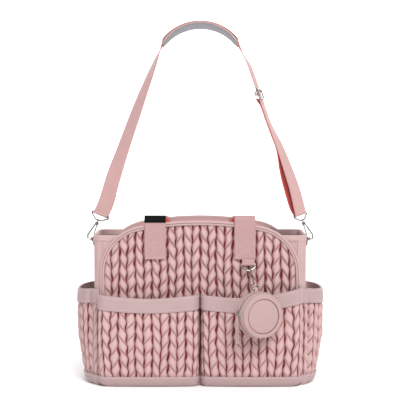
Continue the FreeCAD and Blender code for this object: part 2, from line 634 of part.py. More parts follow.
def pouch_parts():
    zip_gap = 1.7
    half = POUCH_T / 2
    back = pouch_half(zip_gap)
    lid = mirrored(back, Y_AXIS)
    lid = lid.fuse(Part.makeCylinder(31, 0.9, V(0, -half - 0.9, 0), Y_AXIS)).removeSplitter()
    chain = Part.makeCylinder(POUCH_R - 0.6, zip_gap - 0.05, V(0, 0.05, 0), Y_AXIS)
    chain = chain.cut(Part.makeCylinder(POUCH_R - 3.5, zip_gap, V(0, 0, 0), Y_AXIS))

    radial = V(math.cos(ZIP_ANGLE), 0, math.sin(ZIP_ANGLE))
    slider_block = box(POUCH_R + 0.2, POUCH_R + 2.6, -4.2, 4.2, -4.5, 4.5)
    lug = box(POUCH_R + 2.4, POUCH_R + 6.4, -0.6, 0.6, -2.2, 2.2)
    hole = Part.makeCylinder(1.1, 2, V(PULL_R, -1, 0), Y_AXIS)
    zip_slider = slider_block.fuse(lug).cut(hole).removeSplitter()
    zip_slider.rotate(V(0, 0, 0), Y_AXIS, -math.degrees(ZIP_ANGLE))
    hang = radial * PULL_R
    pull = box(hang.x - 2.5, hang.x + 2.5, -0.9, 0.9, hang.z - 55, hang.z - 5.4)
    pull_ring = Part.makeTorus(2.8, 0.6, hang - Z_AXIS * 2.8, X_AXIS)
    pull = pull.fuse(pull_ring).removeSplitter()

    inner, outer = 2.9, 2.9 + TAB_PLY
    x0, x1 = TAB_BAR.x - 2.5, TAB_BAR.x + 2.5
    tab = tube(TAB_BAR, X_AXIS, inner, outer, x1 - x0)
    plies = box(x0, x1, TAB_BAR.y - outer, TAB_BAR.y + outer, POUCH_R - 2.5, TAB_BAR.z)
    plies = plies.cut(box(x0, x1, TAB_BAR.y - inner, TAB_BAR.y + inner, POUCH_R + 0.4, TAB_BAR.z + 1))
    tab = tab.fuse(plies).cut(Part.makeCylinder(inner, 20, TAB_BAR - X_AXIS * 10, X_AXIS)).cut(back)

    charm_ring = d_ring(RING_R)
    charm_ring.rotate(V(0, 0, 0), Z_AXIS, 90)
    charm_ring.rotate(V(0, 0, 0), X_AXIS, 180 - CHARM_TILT)
    charm_ring.translate(V(CHARM_X, CHARM_Y, CHARM_Z))
    bar = V(CHARM_X, CHARM_Y, CHARM_Z)
    half_tab = TAB_W / 2
    eye = tube(bar, X_AXIS, WIRE_R + 0.1, WIRE_R + 1.7, TAB_W)
    ply = box(CHARM_X - half_tab, CHARM_X + half_tab, -QUILT_Y - 2, -QUILT_Y, CHARM_Z, HANDLE_FOOT_Z)
    charm_tab = ply.fuse(eye).cut(Part.makeCylinder(WIRE_R + 0.1, 60, bar - X_AXIS * 30, X_AXIS))

    placed = {
        "pouch_back": back,
        "pouch_lid": lid,
        "pouch_zip_tape_back": chain,
        "pouch_zip_tape_lid": mirrored(chain, Y_AXIS),
        "pouch_zip_slider": zip_slider,
        "pouch_zip_pull": pull,
        "pouch_tab": tab.removeSplitter(),
    }
    placed = {name: to_pouch(shape) for name, shape in placed.items()}
    placed.update(clasp_parts())
    placed.update({"charm_d_ring": charm_ring, "charm_tab": charm_tab.removeSplitter()})
    return placed


def main():
    os.makedirs(PARTS, exist_ok=True)
    parts = body_parts()
    parts.update(panel_parts())
    parts.update(pocket_parts(parts["front_quilted_panel"].fuse(parts["front_arch_binding"])))
    parts.update(inner_parts())
    parts.update(handle_parts())
    parts.update(side_ring_parts())
    parts.update(hook_parts())
    parts.update(strap_parts())
    parts.update(pouch_parts())
    for name, shape in parts.items():
        if not shape.isValid() or shape.Volume <= 0:
            print("check", name, "valid", shape.isValid(), "volume", round(shape.Volume, 1))
        shape.exportStep(os.path.join(PARTS, name + ".step"))
    print(len(parts), "nodes")


main()
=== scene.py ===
"""The looks of a quilted diaper bag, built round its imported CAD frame.

Sizes are in millimetres until build(). The front faces -Y.
"""

import math

import bpy
import numpy as np
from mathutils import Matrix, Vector


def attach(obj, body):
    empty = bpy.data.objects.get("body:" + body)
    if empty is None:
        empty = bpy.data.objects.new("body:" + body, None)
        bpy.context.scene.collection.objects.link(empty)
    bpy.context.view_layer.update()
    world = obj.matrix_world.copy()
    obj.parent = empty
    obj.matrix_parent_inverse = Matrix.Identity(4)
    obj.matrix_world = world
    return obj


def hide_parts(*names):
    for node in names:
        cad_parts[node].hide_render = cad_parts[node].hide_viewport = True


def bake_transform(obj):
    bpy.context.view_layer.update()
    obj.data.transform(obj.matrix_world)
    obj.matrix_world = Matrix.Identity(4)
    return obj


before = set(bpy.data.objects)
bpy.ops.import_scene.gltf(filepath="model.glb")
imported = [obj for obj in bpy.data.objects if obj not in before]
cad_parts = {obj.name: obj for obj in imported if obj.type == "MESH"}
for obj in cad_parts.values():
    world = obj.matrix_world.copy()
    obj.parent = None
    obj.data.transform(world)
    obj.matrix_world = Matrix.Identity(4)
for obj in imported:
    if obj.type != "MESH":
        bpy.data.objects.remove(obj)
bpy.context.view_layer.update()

MM = 0.001
PI = math.pi

# ---- sizes, as in the CAD part ----
BODY_W, BODY_D, CORNER_R = 386.0, 165.0, 14.0
WALL_Y, RIM_Z, WALL, LINING = BODY_D / 2, 273.0, 2.5, 1.0
SEAM_X = 177.0
ARCH_HALF, ARCH_TOP, ARCH_CORNER_R, ARCH_CROWN_R = 180.0, 298.0, 85.0, 600.0
QUILT, BINDING, BASE_Z, BAND_H = 6.5, 7.0, 18.0, 25.0
QUILT_Y = WALL_Y + QUILT
HANDLE_W, HANDLE_T, HANDLE_X, HANDLE_FOOT_Z = 38.0, 2.0, 81.0, 230.0
# for each handle, the height of its hinge line and its fold's corner radius
FRONT_FOLD, REAR_FOLD = (300.0, 7.1), (294.5, 3.4)
HINGE_Y, LOOP_GAP, LOOP_DROP, LOOP_INWARD = 83.0, 7.2, 108.0, 7.0
STRAP_W, STRAP_T, STRAP_LEAN = 32.0, 1.8, -8.0
PAD_END_X, PAD_END_Z, PAD_RISE = 72.0, 626.0, 38.7
POUCH_R, POUCH_T, POUCH_TURN = 41.0, 21.0, 27.0
POUCH_CENTRE = np.array([106.0, -145.6, 136.0])
WIRE_R, RING_X, RING_Z, TAB_W = 1.5, 196.8, 252.0, 22.0
CLAW_TILT, CLAW_FOOT = math.radians(23), np.array([-205.4, 0, 259.6])
LOOP_TOP = 51.0
PIVOT = np.array([0, 0, 259.6])

# ---- sizes of the sewing ----
# quilting: column pitch, puff pitch, how far a puff slants
COLUMN, PUFF_RUN, PUFF_DROP = 14.6, 23.5, 24.0
STITCH_PITCH, STITCH_LENGTH = 3.4, 2.3
STITCH_SHAPE = ((-0.5, 0.15), (-0.3, 0.32), (0.3, 0.32), (0.5, 0.15))  # place along a stitch, radius there
CLEAR = 0.02           # between a quilted sheet and the wall behind it
SHARP_EDGE = math.radians(60)


# ---- materials ----
def new_material(name, roughness, metallic=0.0, sheen=0.0):
    material = bpy.data.materials.new(name)
    material.use_nodes = True
    shader = material.node_tree.nodes["Principled BSDF"]
    shader.inputs["Roughness"].default_value = roughness
    shader.inputs["Metallic"].default_value = metallic
    shader.inputs["Sheen Weight"].default_value = sheen
    shader.inputs["Sheen Roughness"].default_value = 0.5
    return material, material.node_tree, shader


def feed(tree, socket, value):
    """Give an input a value, or link another node's output to it."""
    if isinstance(value, bpy.types.NodeSocket):
        tree.links.new(value, socket)
    else:
        socket.default_value = value


def node(tree, kind, inputs=(), **settings):
    """A new node with some of its settings and inputs."""
    made = tree.nodes.new(kind)
    for key, value in settings.items():
        setattr(made, key, value)
    for key, value in dict(inputs).items():
        feed(tree, made.inputs[key], value)
    return made


def mix(tree, factor, a, b):
    mixer = node(tree, "ShaderNodeMix", {0: factor, 6: a, 7: b}, data_type="RGBA")
    return mixer.outputs[2]


def rgb(r, g, b):
    """A colour given as it looks on screen, 0 to 255, as linear light."""
    return tuple((c / 255) ** 2.2 for c in (r, g, b)) + (1.0,)


def dimmed(colour, share):
    return tuple(c * share for c in colour[:3]) + (1.0,)


def cloth_material(name, face, shade, roughness=0.78, thread=0.55, rib=0.0, depth=0.12, sheen=0.08,
                   underside_shade=None, gloss=0.5):
    """Woven cloth: threads both ways, or ribs along the strap, uneven dye, painted shade in grooves and
    creases, and a painted underside shade where one is given.
    """
    material, tree, shader = new_material(name, roughness, sheen=sheen)
    shader.inputs["Specular IOR Level"].default_value = gloss

    def stored(attribute, output="Fac"):
        return node(tree, "ShaderNodeAttribute", attribute_name=attribute).outputs[output]

    def noise(scale, detail):
        settings = {"Vector": at, "Scale": scale, "Detail": detail}
        return node(tree, "ShaderNodeTexNoise", settings).outputs["Fac"]

    def bands(direction, width, distortion=0.4):
        """Light and dark bands, each about a width wide."""
        settings = {"Vector": at, "Scale": 1 / (width * 6.28), "Distortion": distortion}
        return node(tree, "ShaderNodeTexWave", settings, bands_direction=direction).outputs["Fac"]

    def combine(a, b, operation):
        return node(tree, "ShaderNodeMath", {0: a, 1: b}, operation=operation).outputs[0]

    at = stored("weave", "Vector")
    grain = noise(1.3, 2.0)
    colour = mix(tree, noise(0.035, 3.0), face, dimmed(face, 0.90))
    colour = mix(tree, combine(grain, 0.22, "MULTIPLY"), colour, dimmed(face, 0.72))
    # painted shade: where the crease attribute is set, the colour turns to the shade colour, standing in for
    # the shadow in grooves and creases
    colour = mix(tree, stored("crease"), colour, shade)
    # painted shade and bounce light: the back face of the webbing, turned to the bag or to the other ply,
    # takes the coral colour
    if underside_shade:
        colour = mix(tree, stored("underside_shade"), colour, underside_shade)
    tree.links.new(colour, shader.inputs["Base Color"])
    height = combine(bands("X", thread), bands("Y", thread), "MULTIPLY")
    if rib:
        height = combine(height, bands("Y", rib, 0.1), "ADD")
    rough = combine(height, grain, "ADD")
    bump = node(tree, "ShaderNodeBump", {"Height": rough, "Strength": 0.5, "Distance": depth * MM})
    tree.links.new(bump.outputs["Normal"], shader.inputs["Normal"])
    return material


def metal_material(name, colour, roughness):
    """Plated metal with faint casting ripples and a slightly uneven polish."""
    material, tree, shader = new_material(name, roughness, metallic=1.0)
    at = node(tree, "ShaderNodeTexCoord").outputs["Object"]
    ripple, worn = (node(tree, "ShaderNodeTexNoise", {"Vector": at, "Scale": scale, "Detail": detail})
                    .outputs["Fac"] for scale, detail in ((180.0, 2.0), (900.0, 3.0)))
    tree.links.new(mix(tree, worn, colour, dimmed(colour, 0.82)), shader.inputs["Base Color"])
    polish = {"Value": worn, "To Min": roughness * 0.6, "To Max": roughness * 1.5}
    spread = node(tree, "ShaderNodeMapRange", polish)
    tree.links.new(spread.outputs[0], shader.inputs["Roughness"])
    bump = node(tree, "ShaderNodeBump", {"Height": ripple, "Strength": 0.15, "Distance": 0.2 * MM})
    tree.links.new(bump.outputs["Normal"], shader.inputs["Normal"])
    return material


# the first colour is painted shade for grooves and creases, the second is the crease shade of the webbing
# and bands, and the third is painted shade and bounce light for the webbing's underside
CREVICE_SHADE, RIB_SHADE, UNDERSIDE_SHADE_CORAL = rgb(104, 12, 20), rgb(140, 90, 92), rgb(196, 78, 72)
FABRIC = cloth_material("pink_cloth", rgb(189, 158, 157), CREVICE_SHADE)
QUILTED = cloth_material("quilted_cloth", rgb(200, 166, 164), CREVICE_SHADE)
STRAP_WEBBING = cloth_material("strap_webbing", rgb(193, 153, 151), RIB_SHADE, 0.7, 0.5, 1.6, 0.04,
                               underside_shade=UNDERSIDE_SHADE_CORAL)
WEBBING = cloth_material("pink_webbing", rgb(177, 140, 139), RIB_SHADE, 0.7, 0.5, 1.6, 0.04, underside_shade=UNDERSIDE_SHADE_CORAL)
POUCH_CLOTH = cloth_material("pouch_cloth", rgb(178, 149, 148), CREVICE_SHADE)
# the facing's pink is painted lighter and redder than the other cloth, as bounce light inside the bag
FACING_BOUNCE_LIT = cloth_material("facing_cloth_bounce_lit", rgb(206, 163, 162), CREVICE_SHADE)
BAND = cloth_material("pocket_band", rgb(174, 148, 148), RIB_SHADE, 0.7, 0.5, 1.4, 0.05)
GREY = cloth_material("grey_lining", rgb(152, 152, 157), rgb(90, 90, 96), 0.75, 0.4)
DARK_LABEL = cloth_material("black_label", rgb(9, 9, 10), rgb(5, 5, 5), 0.6, 0.35, sheen=0.0, gloss=0.12)
THREAD = cloth_material("pink_thread", rgb(216, 184, 182), rgb(150, 90, 92), 0.5, 0.3, depth=0.05)
CHROME = metal_material("chrome", rgb(176, 172, 168), 0.16)
BRASS = metal_material("zip_teeth", rgb(226, 212, 178), 0.28)
BOARD_GREY = cloth_material("stiff_board", rgb(84, 82, 80), rgb(40, 40, 40), 0.8, 1.2)

# body, slot and material of the pieces that come often
CLOTH = ("bag", "plain_fabric", FABRIC)
LINED = ("bag", "lining_fabric", GREY)
TAPE = ("bag", "webbing", WEBBING)
STRAP = ("shoulder_strap", "webbing", STRAP_WEBBING)


# ---- mesh builders ----
def unit(v):
    v = np.asarray(v, float)
    return v / np.maximum(np.linalg.norm(v, axis=-1, keepdims=True), 1e-9)


def ease(t):
    t = np.clip(t, 0, 1)
    return t * t * (3 - 2 * t)


def bell(t):
    return np.exp(-(t**2))


def xyz(x, y, z):
    """Points from three coordinates, each a number or an array."""
    return np.stack(np.broadcast_arrays(x, y, z), -1)


def build(name, verts, faces, body, slot, material, nodes=(), weave=None, crease=None, underside_shade=None):
    """One piece from points in millimetres; it rides on a CAD body and stands for the CAD nodes named."""
    mesh = bpy.data.meshes.new(name)
    mesh.from_pydata((np.asarray(verts) * MM).tolist(), [], [tuple(map(int, f)) for f in faces])
    mesh.validate()
    count = len(mesh.vertices)
    for label, values in (("crease", crease), ("underside_shade", underside_shade)):
        data = np.zeros(count) if values is None else values
        field = mesh.attributes.new(label, "FLOAT", "POINT")
        field.data.foreach_set("value", np.asarray(data, np.float32).ravel())
    at = np.asarray(verts, float) if weave is None else weave
    field = mesh.attributes.new("weave", "FLOAT_VECTOR", "POINT")
    field.data.foreach_set("vector", at.astype(np.float32).ravel())
    mesh.shade_smooth()
    mesh.set_sharp_from_angle(angle=SHARP_EDGE)
    mesh.materials.append(material)
    obj = bpy.data.objects.new(name, mesh)
    bpy.context.scene.collection.objects.link(obj)
    if body:
        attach(obj, body)
    if nodes:
        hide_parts(*nodes)
    return obj


def grid_faces(index):
    a, b, c, d = index[:-1, :-1], index[:-1, 1:], index[1:, 1:], index[1:, :-1]
    return np.stack([a, b, c, d], -1).reshape(-1, 4)


def slab(name, outer, inner, body, slot, material, crease=None, weave=None, wrap=False, flip=False, **more):
    """A sheet between two grids of points, each rows x columns x 3.

    wrap joins the last column to the first; flip takes the columns the other way round, so that the
    outer grid faces outward.
    """
    if flip:
        outer, inner, crease, weave = (None if grid is None else grid[:, ::-1]
                                       for grid in (outer, inner, crease, weave))
    rows, cols = outer.shape[:2]
    index = np.arange(rows * cols).reshape(rows, cols)
    if wrap:
        index = np.hstack([index, index[:, :1]])
    back = index + rows * cols
    faces = [grid_faces(index), grid_faces(back)[:, ::-1]]
    edges = [(index[0], back[0], 1), (index[-1], back[-1], -1)]
    if not wrap:
        edges += [(index[:, 0], back[:, 0], -1), (index[:, -1], back[:, -1], 1)]
    for a, b, way in edges:
        strip = np.stack([a[1:], a[:-1], b[:-1], b[1:]], -1)
        faces.append(strip[:, ::way])
    verts = np.concatenate([outer.reshape(-1, 3), inner.reshape(-1, 3)])
    dark = None if crease is None else np.concatenate([crease.ravel(), np.zeros(rows * cols)])
    at = None if weave is None else np.concatenate([weave.reshape(-1, 3)] * 2)
    return build(name, verts, np.concatenate(faces), body, slot, material, crease=dark, weave=at, **more)


def run_lengths(points):
    steps = np.linalg.norm(np.diff(points, axis=0), axis=1)
    return np.concatenate([[0], np.cumsum(steps)])


def sweep(name, points, normals, profile, body, slot, material, scale=None, loop=False, wide=None, **more):
    """A closed profile of (across, out) carried along points.

    Out follows the normals, and across follows wide, or else the path's own side.
    """
    points = np.asarray(points, float)
    if loop:
        along = unit(np.roll(points, -1, 0) - np.roll(points, 1, 0))
    else:
        along = unit(np.gradient(points, axis=0))
    if wide is None:
        wide = unit(np.cross(along, normals))
        out = np.cross(wide, along)
    else:
        out = unit(normals)
    profile = np.asarray(profile, float)
    scale = np.ones(len(points)) if scale is None else np.asarray(scale)
    across = profile[None, :, 0] * scale[:, None]
    verts = points[:, None] + wide[:, None] * across[..., None] + out[:, None] * profile[None, :, 1, None]
    rows, cols = verts.shape[:2]
    index = np.arange(rows * cols).reshape(rows, cols)
    rounds = np.hstack([index, index[:, :1]])
    if loop:
        rounds = np.vstack([rounds, rounds[:1]])
    faces = [tuple(f) for f in grid_faces(rounds)]
    if not loop:
        faces += [tuple(index[0]), tuple(index[-1][::-1])]
    at = xyz(across, run_lengths(points)[:, None], 0).reshape(-1, 3)
    # the back face of every swept profile is marked for the painted underside shade
    underside_shade = np.broadcast_to(profile[:, 1] < -0.3, (rows, cols)).astype(float)
    verts = verts.reshape(-1, 3)
    return build(name, verts, faces, body, slot, material, weave=at, underside_shade=underside_shade, **more)


def strap_profile(width, thick, steps=10):
    """Webbing in section: two flat faces, rolled edges, and a shallow dip beside each edge."""
    half = width / 2
    w = np.linspace(-half + 0.5, half - 0.5, steps)
    dip = 0.12 * bell((half - 2.2 - abs(w)) / 0.8)
    face = np.stack([w, thick / 2 - dip], -1)
    right = [(half - 0.1, thick * 0.3), (half, 0), (half - 0.1, -thick * 0.3)]
    return np.concatenate([face, right, face[::-1] * [1, -1], [(-x, -y) for x, y in right]])


def smooth_path(points):
    """A smooth curve through the points (Catmull-Rom)."""
    p = np.asarray(points, float)
    p = np.concatenate([[2 * p[0] - p[1]], p, [2 * p[-1] - p[-2]]])
    t = np.linspace(0, 1, 8, endpoint=False)[:, None]
    found = []
    for i in range(1, len(p) - 2):
        a, b, c, d = p[i - 1:i + 3]
        square, cube = 2 * a - 5 * b + 4 * c - d, 3 * b - a - 3 * c + d
        found.append(0.5 * (2 * b + (c - a) * t + square * t**2 + cube * t**3))
    return np.concatenate(found + [p[-2:-1]])


def at_lengths(points, values, spacing):
    """Points and values resampled evenly, about spacing apart."""
    points = np.asarray(points, float)
    lengths = run_lengths(points)
    want = np.linspace(0, lengths[-1], max(2, int(round(lengths[-1] / spacing)) + 1))
    both = np.hstack([points, np.asarray(values, float)])
    found = np.stack([np.interp(want, lengths, column) for column in both.T], -1)
    return found[:, :3], found[:, 3:]


def stitches(name, points, normals, body="bag", slot="plain_fabric", lift=0.15):
    """A row of separate thread stitches lying on a surface; normals may be one direction for them all."""
    spots, out = at_lengths(points, np.broadcast_to(normals, np.shape(points)), STITCH_PITCH)
    along = unit(np.gradient(spots, axis=0))
    out = unit(out)
    wide = np.cross(along, out)
    verts, faces = [], []
    ring = [(math.cos(a), math.sin(a)) for a in np.arange(6) * PI / 3]
    for p, t, w, n in zip(spots, along, wide, out):
        first = len(verts)
        for s, r in STITCH_SHAPE:
            sink = lift if abs(s) < 0.4 else lift - 0.2
            centre = p + t * s * STITCH_LENGTH + n * sink
            verts += [centre + w * r * c + n * r * d for c, d in ring]
        for k in range(3):
            for j in range(6):
                a, b = first + 6 * k + j, first + 6 * k + (j + 1) % 6
                faces.append((a, b, b + 6, a + 6))
        faces.append(tuple(range(first + 5, first - 1, -1)))
        faces.append(tuple(range(first + 18, first + 24)))
    return build(name, np.array(verts), faces, body, slot, THREAD)


def dense_line(corners, steps):
    """A line through the corners, with a point at each of the steps between them."""
    line = np.array(corners, float)
    return np.concatenate([np.linspace(p, q, steps)[:-1] for p, q in zip(line, line[1:])] + [line[-1:]])


def mirror_x(array):
    return array * np.array([-1.0, 1.0, 1.0])


def side_name(side, low, high):
    """The word for a side: low for -1 and high for 1."""
    return low if side < 0 else high


# ---- quilting ----
def quilting(u, v, seed, pitch=COLUMN):
    """Braided quilting at u across and v up: puff height, 0 to 1, and how much painted shade the point
    takes.

    Columns of slanting puffs lie in pairs. Between a pair the puffs meet in an upturned V, where the
    groove gapes.
    """
    kinds = 64  # columns, and puffs in a column, before the small differences come again
    rng = np.random.default_rng(seed)
    pair_phase = rng.uniform(0, 1, kinds)
    jitter = rng.uniform(-0.07, 0.07, kinds)
    drift = rng.uniform(0, 2 * PI, kinds)
    puffs = rng.uniform(-1, 1, (kinds, kinds))

    def groove(k):
        """The wandering line on the left of column k."""
        short = 0.7 * np.sin(2 * PI * (v / PUFF_RUN + pair_phase[k % kinds]))
        return k * pitch + (short + np.sin(2 * PI * v / 127 + drift[k % kinds]))

    k = np.floor(u / pitch).astype(int)
    k = k - (u < groove(k)) + (u > groove(k + 1))
    first_of_pair = k % 2 == 0
    left, right = groove(k), groove(k + 1)
    a = np.clip((u - left) / (right - left), 0, 1)
    down = np.where(first_of_pair, a, 1 - a)
    drop = 0.6 * np.arccos(1 - 2 * down) / PI + 0.4 * down
    run = (v + PUFF_DROP * drop) / PUFF_RUN + pair_phase[(k + 1) // 2 % kinds] + jitter[k % kinds]
    j = np.floor(run).astype(int)
    b = run - j
    vary = puffs[k % kinds, j % kinds]
    seam = np.minimum(b, 1 - b) * PUFF_RUN
    open_here = bell((b - 0.66) / 0.36) * (1 + 0.5 * vary)
    close_here = bell((b - 0.30) / 0.34) * (1 - 0.5 * vary)
    peak_gap, valley_gap = 0.10 + 1.25 * open_here, 0.10 + 0.95 * close_here
    gap_left = np.where(first_of_pair, peak_gap, valley_gap)
    gap_right = np.where(first_of_pair, valley_gap, peak_gap)
    inside = np.clip((u - left - gap_left) / (right - left - gap_left - gap_right), 0, 1)
    lean = 0.5 + 0.16 * (b - 0.5) * np.where(first_of_pair, -1, 1)
    across = np.where(inside < lean, inside / (2 * lean), 0.5 + (inside - lean) / (2 * (1 - lean)))
    dome = np.clip(1 - abs(2 * across - 1) ** 2.0, 0, 1) ** 0.66
    # a puff is fullest just above its lower seam, and its top tucks under the puff above
    swell = (0.42 + 0.58 * ease(b / 0.30) ** 0.7) * (1 - 0.42 * b**1.8)
    gathers = 0.035 * np.sin(2 * PI * 3.2 * b + 5 * vary + 2.2 * across) * (1 - 0.6 * across)
    wrinkle = 0.028 * np.sin(u * 1.9 + 3.1 * vary + v * 0.8) * np.sin(v * 0.47 + 5 * vary)
    pinch = 1 - 0.5 * bell(seam / 1.4)
    height = dome * (swell + gathers + wrinkle + 0.07 * vary) * pinch + 0.04
    from_left, from_right = gap_left - (u - left), gap_right - (right - u)
    outside = np.maximum(from_left, from_right)
    strength = np.where((outside == from_left) == first_of_pair, open_here, close_here)
    # painted shade: darker in the gaping grooves and on the slopes beside them, with a painted shadow under
    # each slanting seam on the top of the puff below
    groove_dark = bell(np.clip(-outside / 0.8, 0, 4)) * (0.8 + 0.5 * strength)
    slope_dark = (0.26 + 0.26 * bell(seam / 4.0)) * bell(np.clip(-outside / 2.5, 0, 4))
    under_seam = np.where(b > 0.5, seam / 1.9, seam / 0.8)
    seam_dark = 0.6 * bell(under_seam) + 0.16 * bell(seam / 4.5) * (b > 0.5)
    dark = np.maximum(np.maximum(groove_dark, slope_dark), seam_dark)
    return np.clip(height, 0, 1.05), np.clip(dark, 0, 1)


# ---- outlines ----
def arch_height(x, grow=0.0):
    """Top of the arched outline, grown outward, above x."""
    corner_x = ARCH_HALF - ARCH_CORNER_R
    reach = ARCH_CROWN_R - ARCH_CORNER_R
    crown_z = ARCH_TOP - ARCH_CROWN_R
    corner_z = crown_z + math.sqrt(reach**2 - corner_x**2)
    x = np.abs(np.asarray(x, float))
    split = corner_x * (ARCH_CROWN_R + grow) / reach
    crown = crown_z + np.sqrt((ARCH_CROWN_R + grow) ** 2 - np.minimum(x, split) ** 2)
    radius = ARCH_CORNER_R + grow
    corner = corner_z + np.sqrt(np.maximum(radius**2 - (x - corner_x) ** 2, 0))
    return np.where(x < split, crown, corner)


def arch_path(foot):
    """Points (x, z) and outward directions round the arch, from its left foot to its right one."""
    corner_x = ARCH_HALF - ARCH_CORNER_R
    corner_z = float(arch_height(ARCH_HALF))
    turn = math.asin(corner_x / (ARCH_CROWN_R - ARCH_CORNER_R))

    def arc(centre_x, centre_z, radius, angles):
        """Outward directions and points of an arc; the angles run clockwise from straight up."""
        out = np.stack([np.sin(angles), np.cos(angles)], -1)
        return np.hstack([out, out * radius + [centre_x, centre_z]])

    upright = [(-1.0, 0.0, -ARCH_HALF, z) for z in np.arange(foot, corner_z, 6.0)]
    corner = arc(-corner_x, corner_z, ARCH_CORNER_R, np.linspace(-PI / 2, -turn, 24))
    crown = arc(0, ARCH_TOP - ARCH_CROWN_R, ARCH_CROWN_R, np.linspace(-turn, 0, 12)[1:])
    left = np.concatenate([upright, corner, crown])
    right = left[::-1][1:] * [-1, 1, -1, 1]
    both = np.concatenate([left, right])
    return both[:, 2:], both[:, :2]


def plan_side(grow, reach=SEAM_X):
    """Plan of the left gusset with its two corners: points (x, y) and outward directions, front to rear."""
    w, d, r = BODY_W / 2, BODY_D / 2, CORNER_R
    lead = np.arange(reach, w - r, 4.0)
    front = [(-x, -d, 0.0, -1.0) for x in lead]
    for a in np.linspace(0, PI / 2, 7):
        front.append((-(w - r) - r * math.sin(a), -(d - r) - r * math.cos(a), -math.sin(a), -math.cos(a)))
    middle = [(-w, y, -1.0, 0.0) for y in np.linspace(-(d - r), d - r, 30)[1:-1]]
    rear = np.array(front)[::-1] * [1, -1, 1, -1]
    both = np.concatenate([front, middle, rear])
    return both[:, :2] + both[:, 2:] * grow, both[:, 2:]


# ---- the bag's body ----
def panel(side, name, nodes):
    """An arched quilted panel: side is -1 for the front and 1 for the rear."""
    half = ARCH_HALF - BINDING
    x = np.linspace(-half, half, 400 if side < 0 else 330)
    top = arch_height(x, -BINDING)[None]
    # the front one's lowest part, hidden by the pockets, takes only a few rows
    low, count = (150.0, 150) if side < 0 else (BASE_Z, 220)
    t = np.concatenate([np.linspace(0, 0.999, 8), 1 + np.linspace(0, 1, count)])[:, None]
    z = np.where(t < 1, BASE_Z + (low - BASE_Z) * t, low + (top - low) * (t - 1))
    x = np.broadcast_to(x, z.shape)
    height, dark = quilting(x * -side, z, 11 if side < 0 else 23)
    gap = np.minimum(np.minimum(top - z, half - abs(x)), z - BASE_Z)
    depth = 0.4 + (QUILT - 0.5) * height * (0.45 + 0.55 * ease(gap / 7.0))
    outer, inner = xyz(x, side * (WALL_Y + depth), z), xyz(x, side * (WALL_Y + CLEAR), z)
    made = slab(name, outer, inner, "bag", "quilted_fabric", QUILTED, dark, xyz(x, z, 0), flip=side > 0,
                nodes=nodes)
    return made


def arch_binding(side, name, nodes):
    """The bias binding round an arched panel, wrapped over its free top edge."""
    face, rear = QUILT_Y - 0.6, WALL_Y - WALL - LINING - 1.2
    path, out = arch_path(150.0)
    high = path[:, 1] > RIM_Z + 0.5
    groove = -2.9
    front = [(-7, WALL_Y + 0.1), (-7, face - 1.5), (-6, face - 0.3), (-4.4, face), (-3.5, face - 0.2),
             (groove, face - 1.2), (-2.3, face - 0.2), (-0.8, face - 0.2), (1.1, face - 1.6),
             (1.6, face - 4)]
    over = front + [(1.6, rear + 3), (0.9, rear + 0.8), (-0.6, rear), (-5.6, rear), (-6, rear + 0.5),
                    (-6, rear + 1.1), (0.1, rear + 1.3), (0.1, WALL_Y + 0.1)]
    beside = front + [(1.6, WALL_Y + 0.1)]
    first, last = np.flatnonzero(high)[[0, -1]]
    runs = ((over, slice(first - 1, last + 2), "top"), (beside, slice(0, first), "left"),
            (beside, slice(last + 1, None), "right"))
    for profile, run, part in runs:
        points, normals = (xyz(way[run, 0], 0, way[run, 1]) for way in (path, out))
        # across is along Y here: +Y for the rear panel, -Y for the front one
        across_sign = np.sign(np.cross(unit(points[1] - points[0]), normals[0])[1]) * side
        section = [(y * across_sign, r) for r, y in profile]
        if across_sign < 0:
            section = section[::-1]
        points, steps = at_lengths(points, normals, 3.0)
        # painted shade along the groove pressed into the binding's face
        dark = np.tile([0.9 * (r == groove) for _, r in section], len(points))
        sweep(f"{name}_{part}", points, unit(steps), section, *CLOTH, crease=dark,
              nodes=nodes if part == "top" else ())
    inset = path - out * 5.2
    stitches(f"{name}_stitches", xyz(inset[:, 0], side * (face + 0.05), inset[:, 1]), [0, side, 0])


def facing_strip(side):
    """The pink facing inside an arched edge, with its two rows of stitches."""
    x = np.linspace(-132, 132, 100)
    t = np.linspace(0, 1, 14)[:, None]
    z = arch_height(x)[None] - 21 + 17 * t
    face = WALL_Y - WALL - LINING - 0.6
    seam = 0.7 * bell((t - 0.5) / 0.06)
    outer = xyz(x, side * face, z)
    inner = xyz(x, side * (face - 1.5 + seam + 0.15 * np.sin(x * 0.11)), z)
    if side < 0:
        outer, inner = outer[:, ::-1], inner[:, ::-1]
    name = f"facing_{side_name(side, 'front', 'rear')}"
    slab(name, inner, outer, "bag", "plain_fabric", FACING_BOUNCE_LIT, weave=inner[..., [0, 2, 1]])
    for k, row in enumerate((5, 9)):
        stitches(f"{name}_stitches{k}", inner[row], [0, -side, 0])


def wall(side, name, nodes):
    """The plain wall behind a quilted panel."""
    x = np.linspace(-SEAM_X, SEAM_X, 120)
    top = np.maximum(arch_height(np.clip(x, -150, 150)), RIM_Z - 1.5)
    z = WALL + (top[None] - WALL) * np.linspace(0, 1, 60)[:, None]
    x = np.broadcast_to(x, z.shape)
    swell = 0.35 * np.sin(x * 0.045 + 0.3 * np.sin(z * 0.03)) * np.sin(z * 0.02)
    swell = np.where(abs(x) > 140, swell, 0) * ease((SEAM_X - abs(x)) / 8)
    outer = xyz(x, side * (WALL_Y - 0.35 + swell), z)
    inner = xyz(x, side * (WALL_Y - WALL + 0.05), z)
    return slab(name, outer, inner, *CLOTH, weave=outer[..., [0, 2, 1]], flip=side > 0, nodes=nodes)


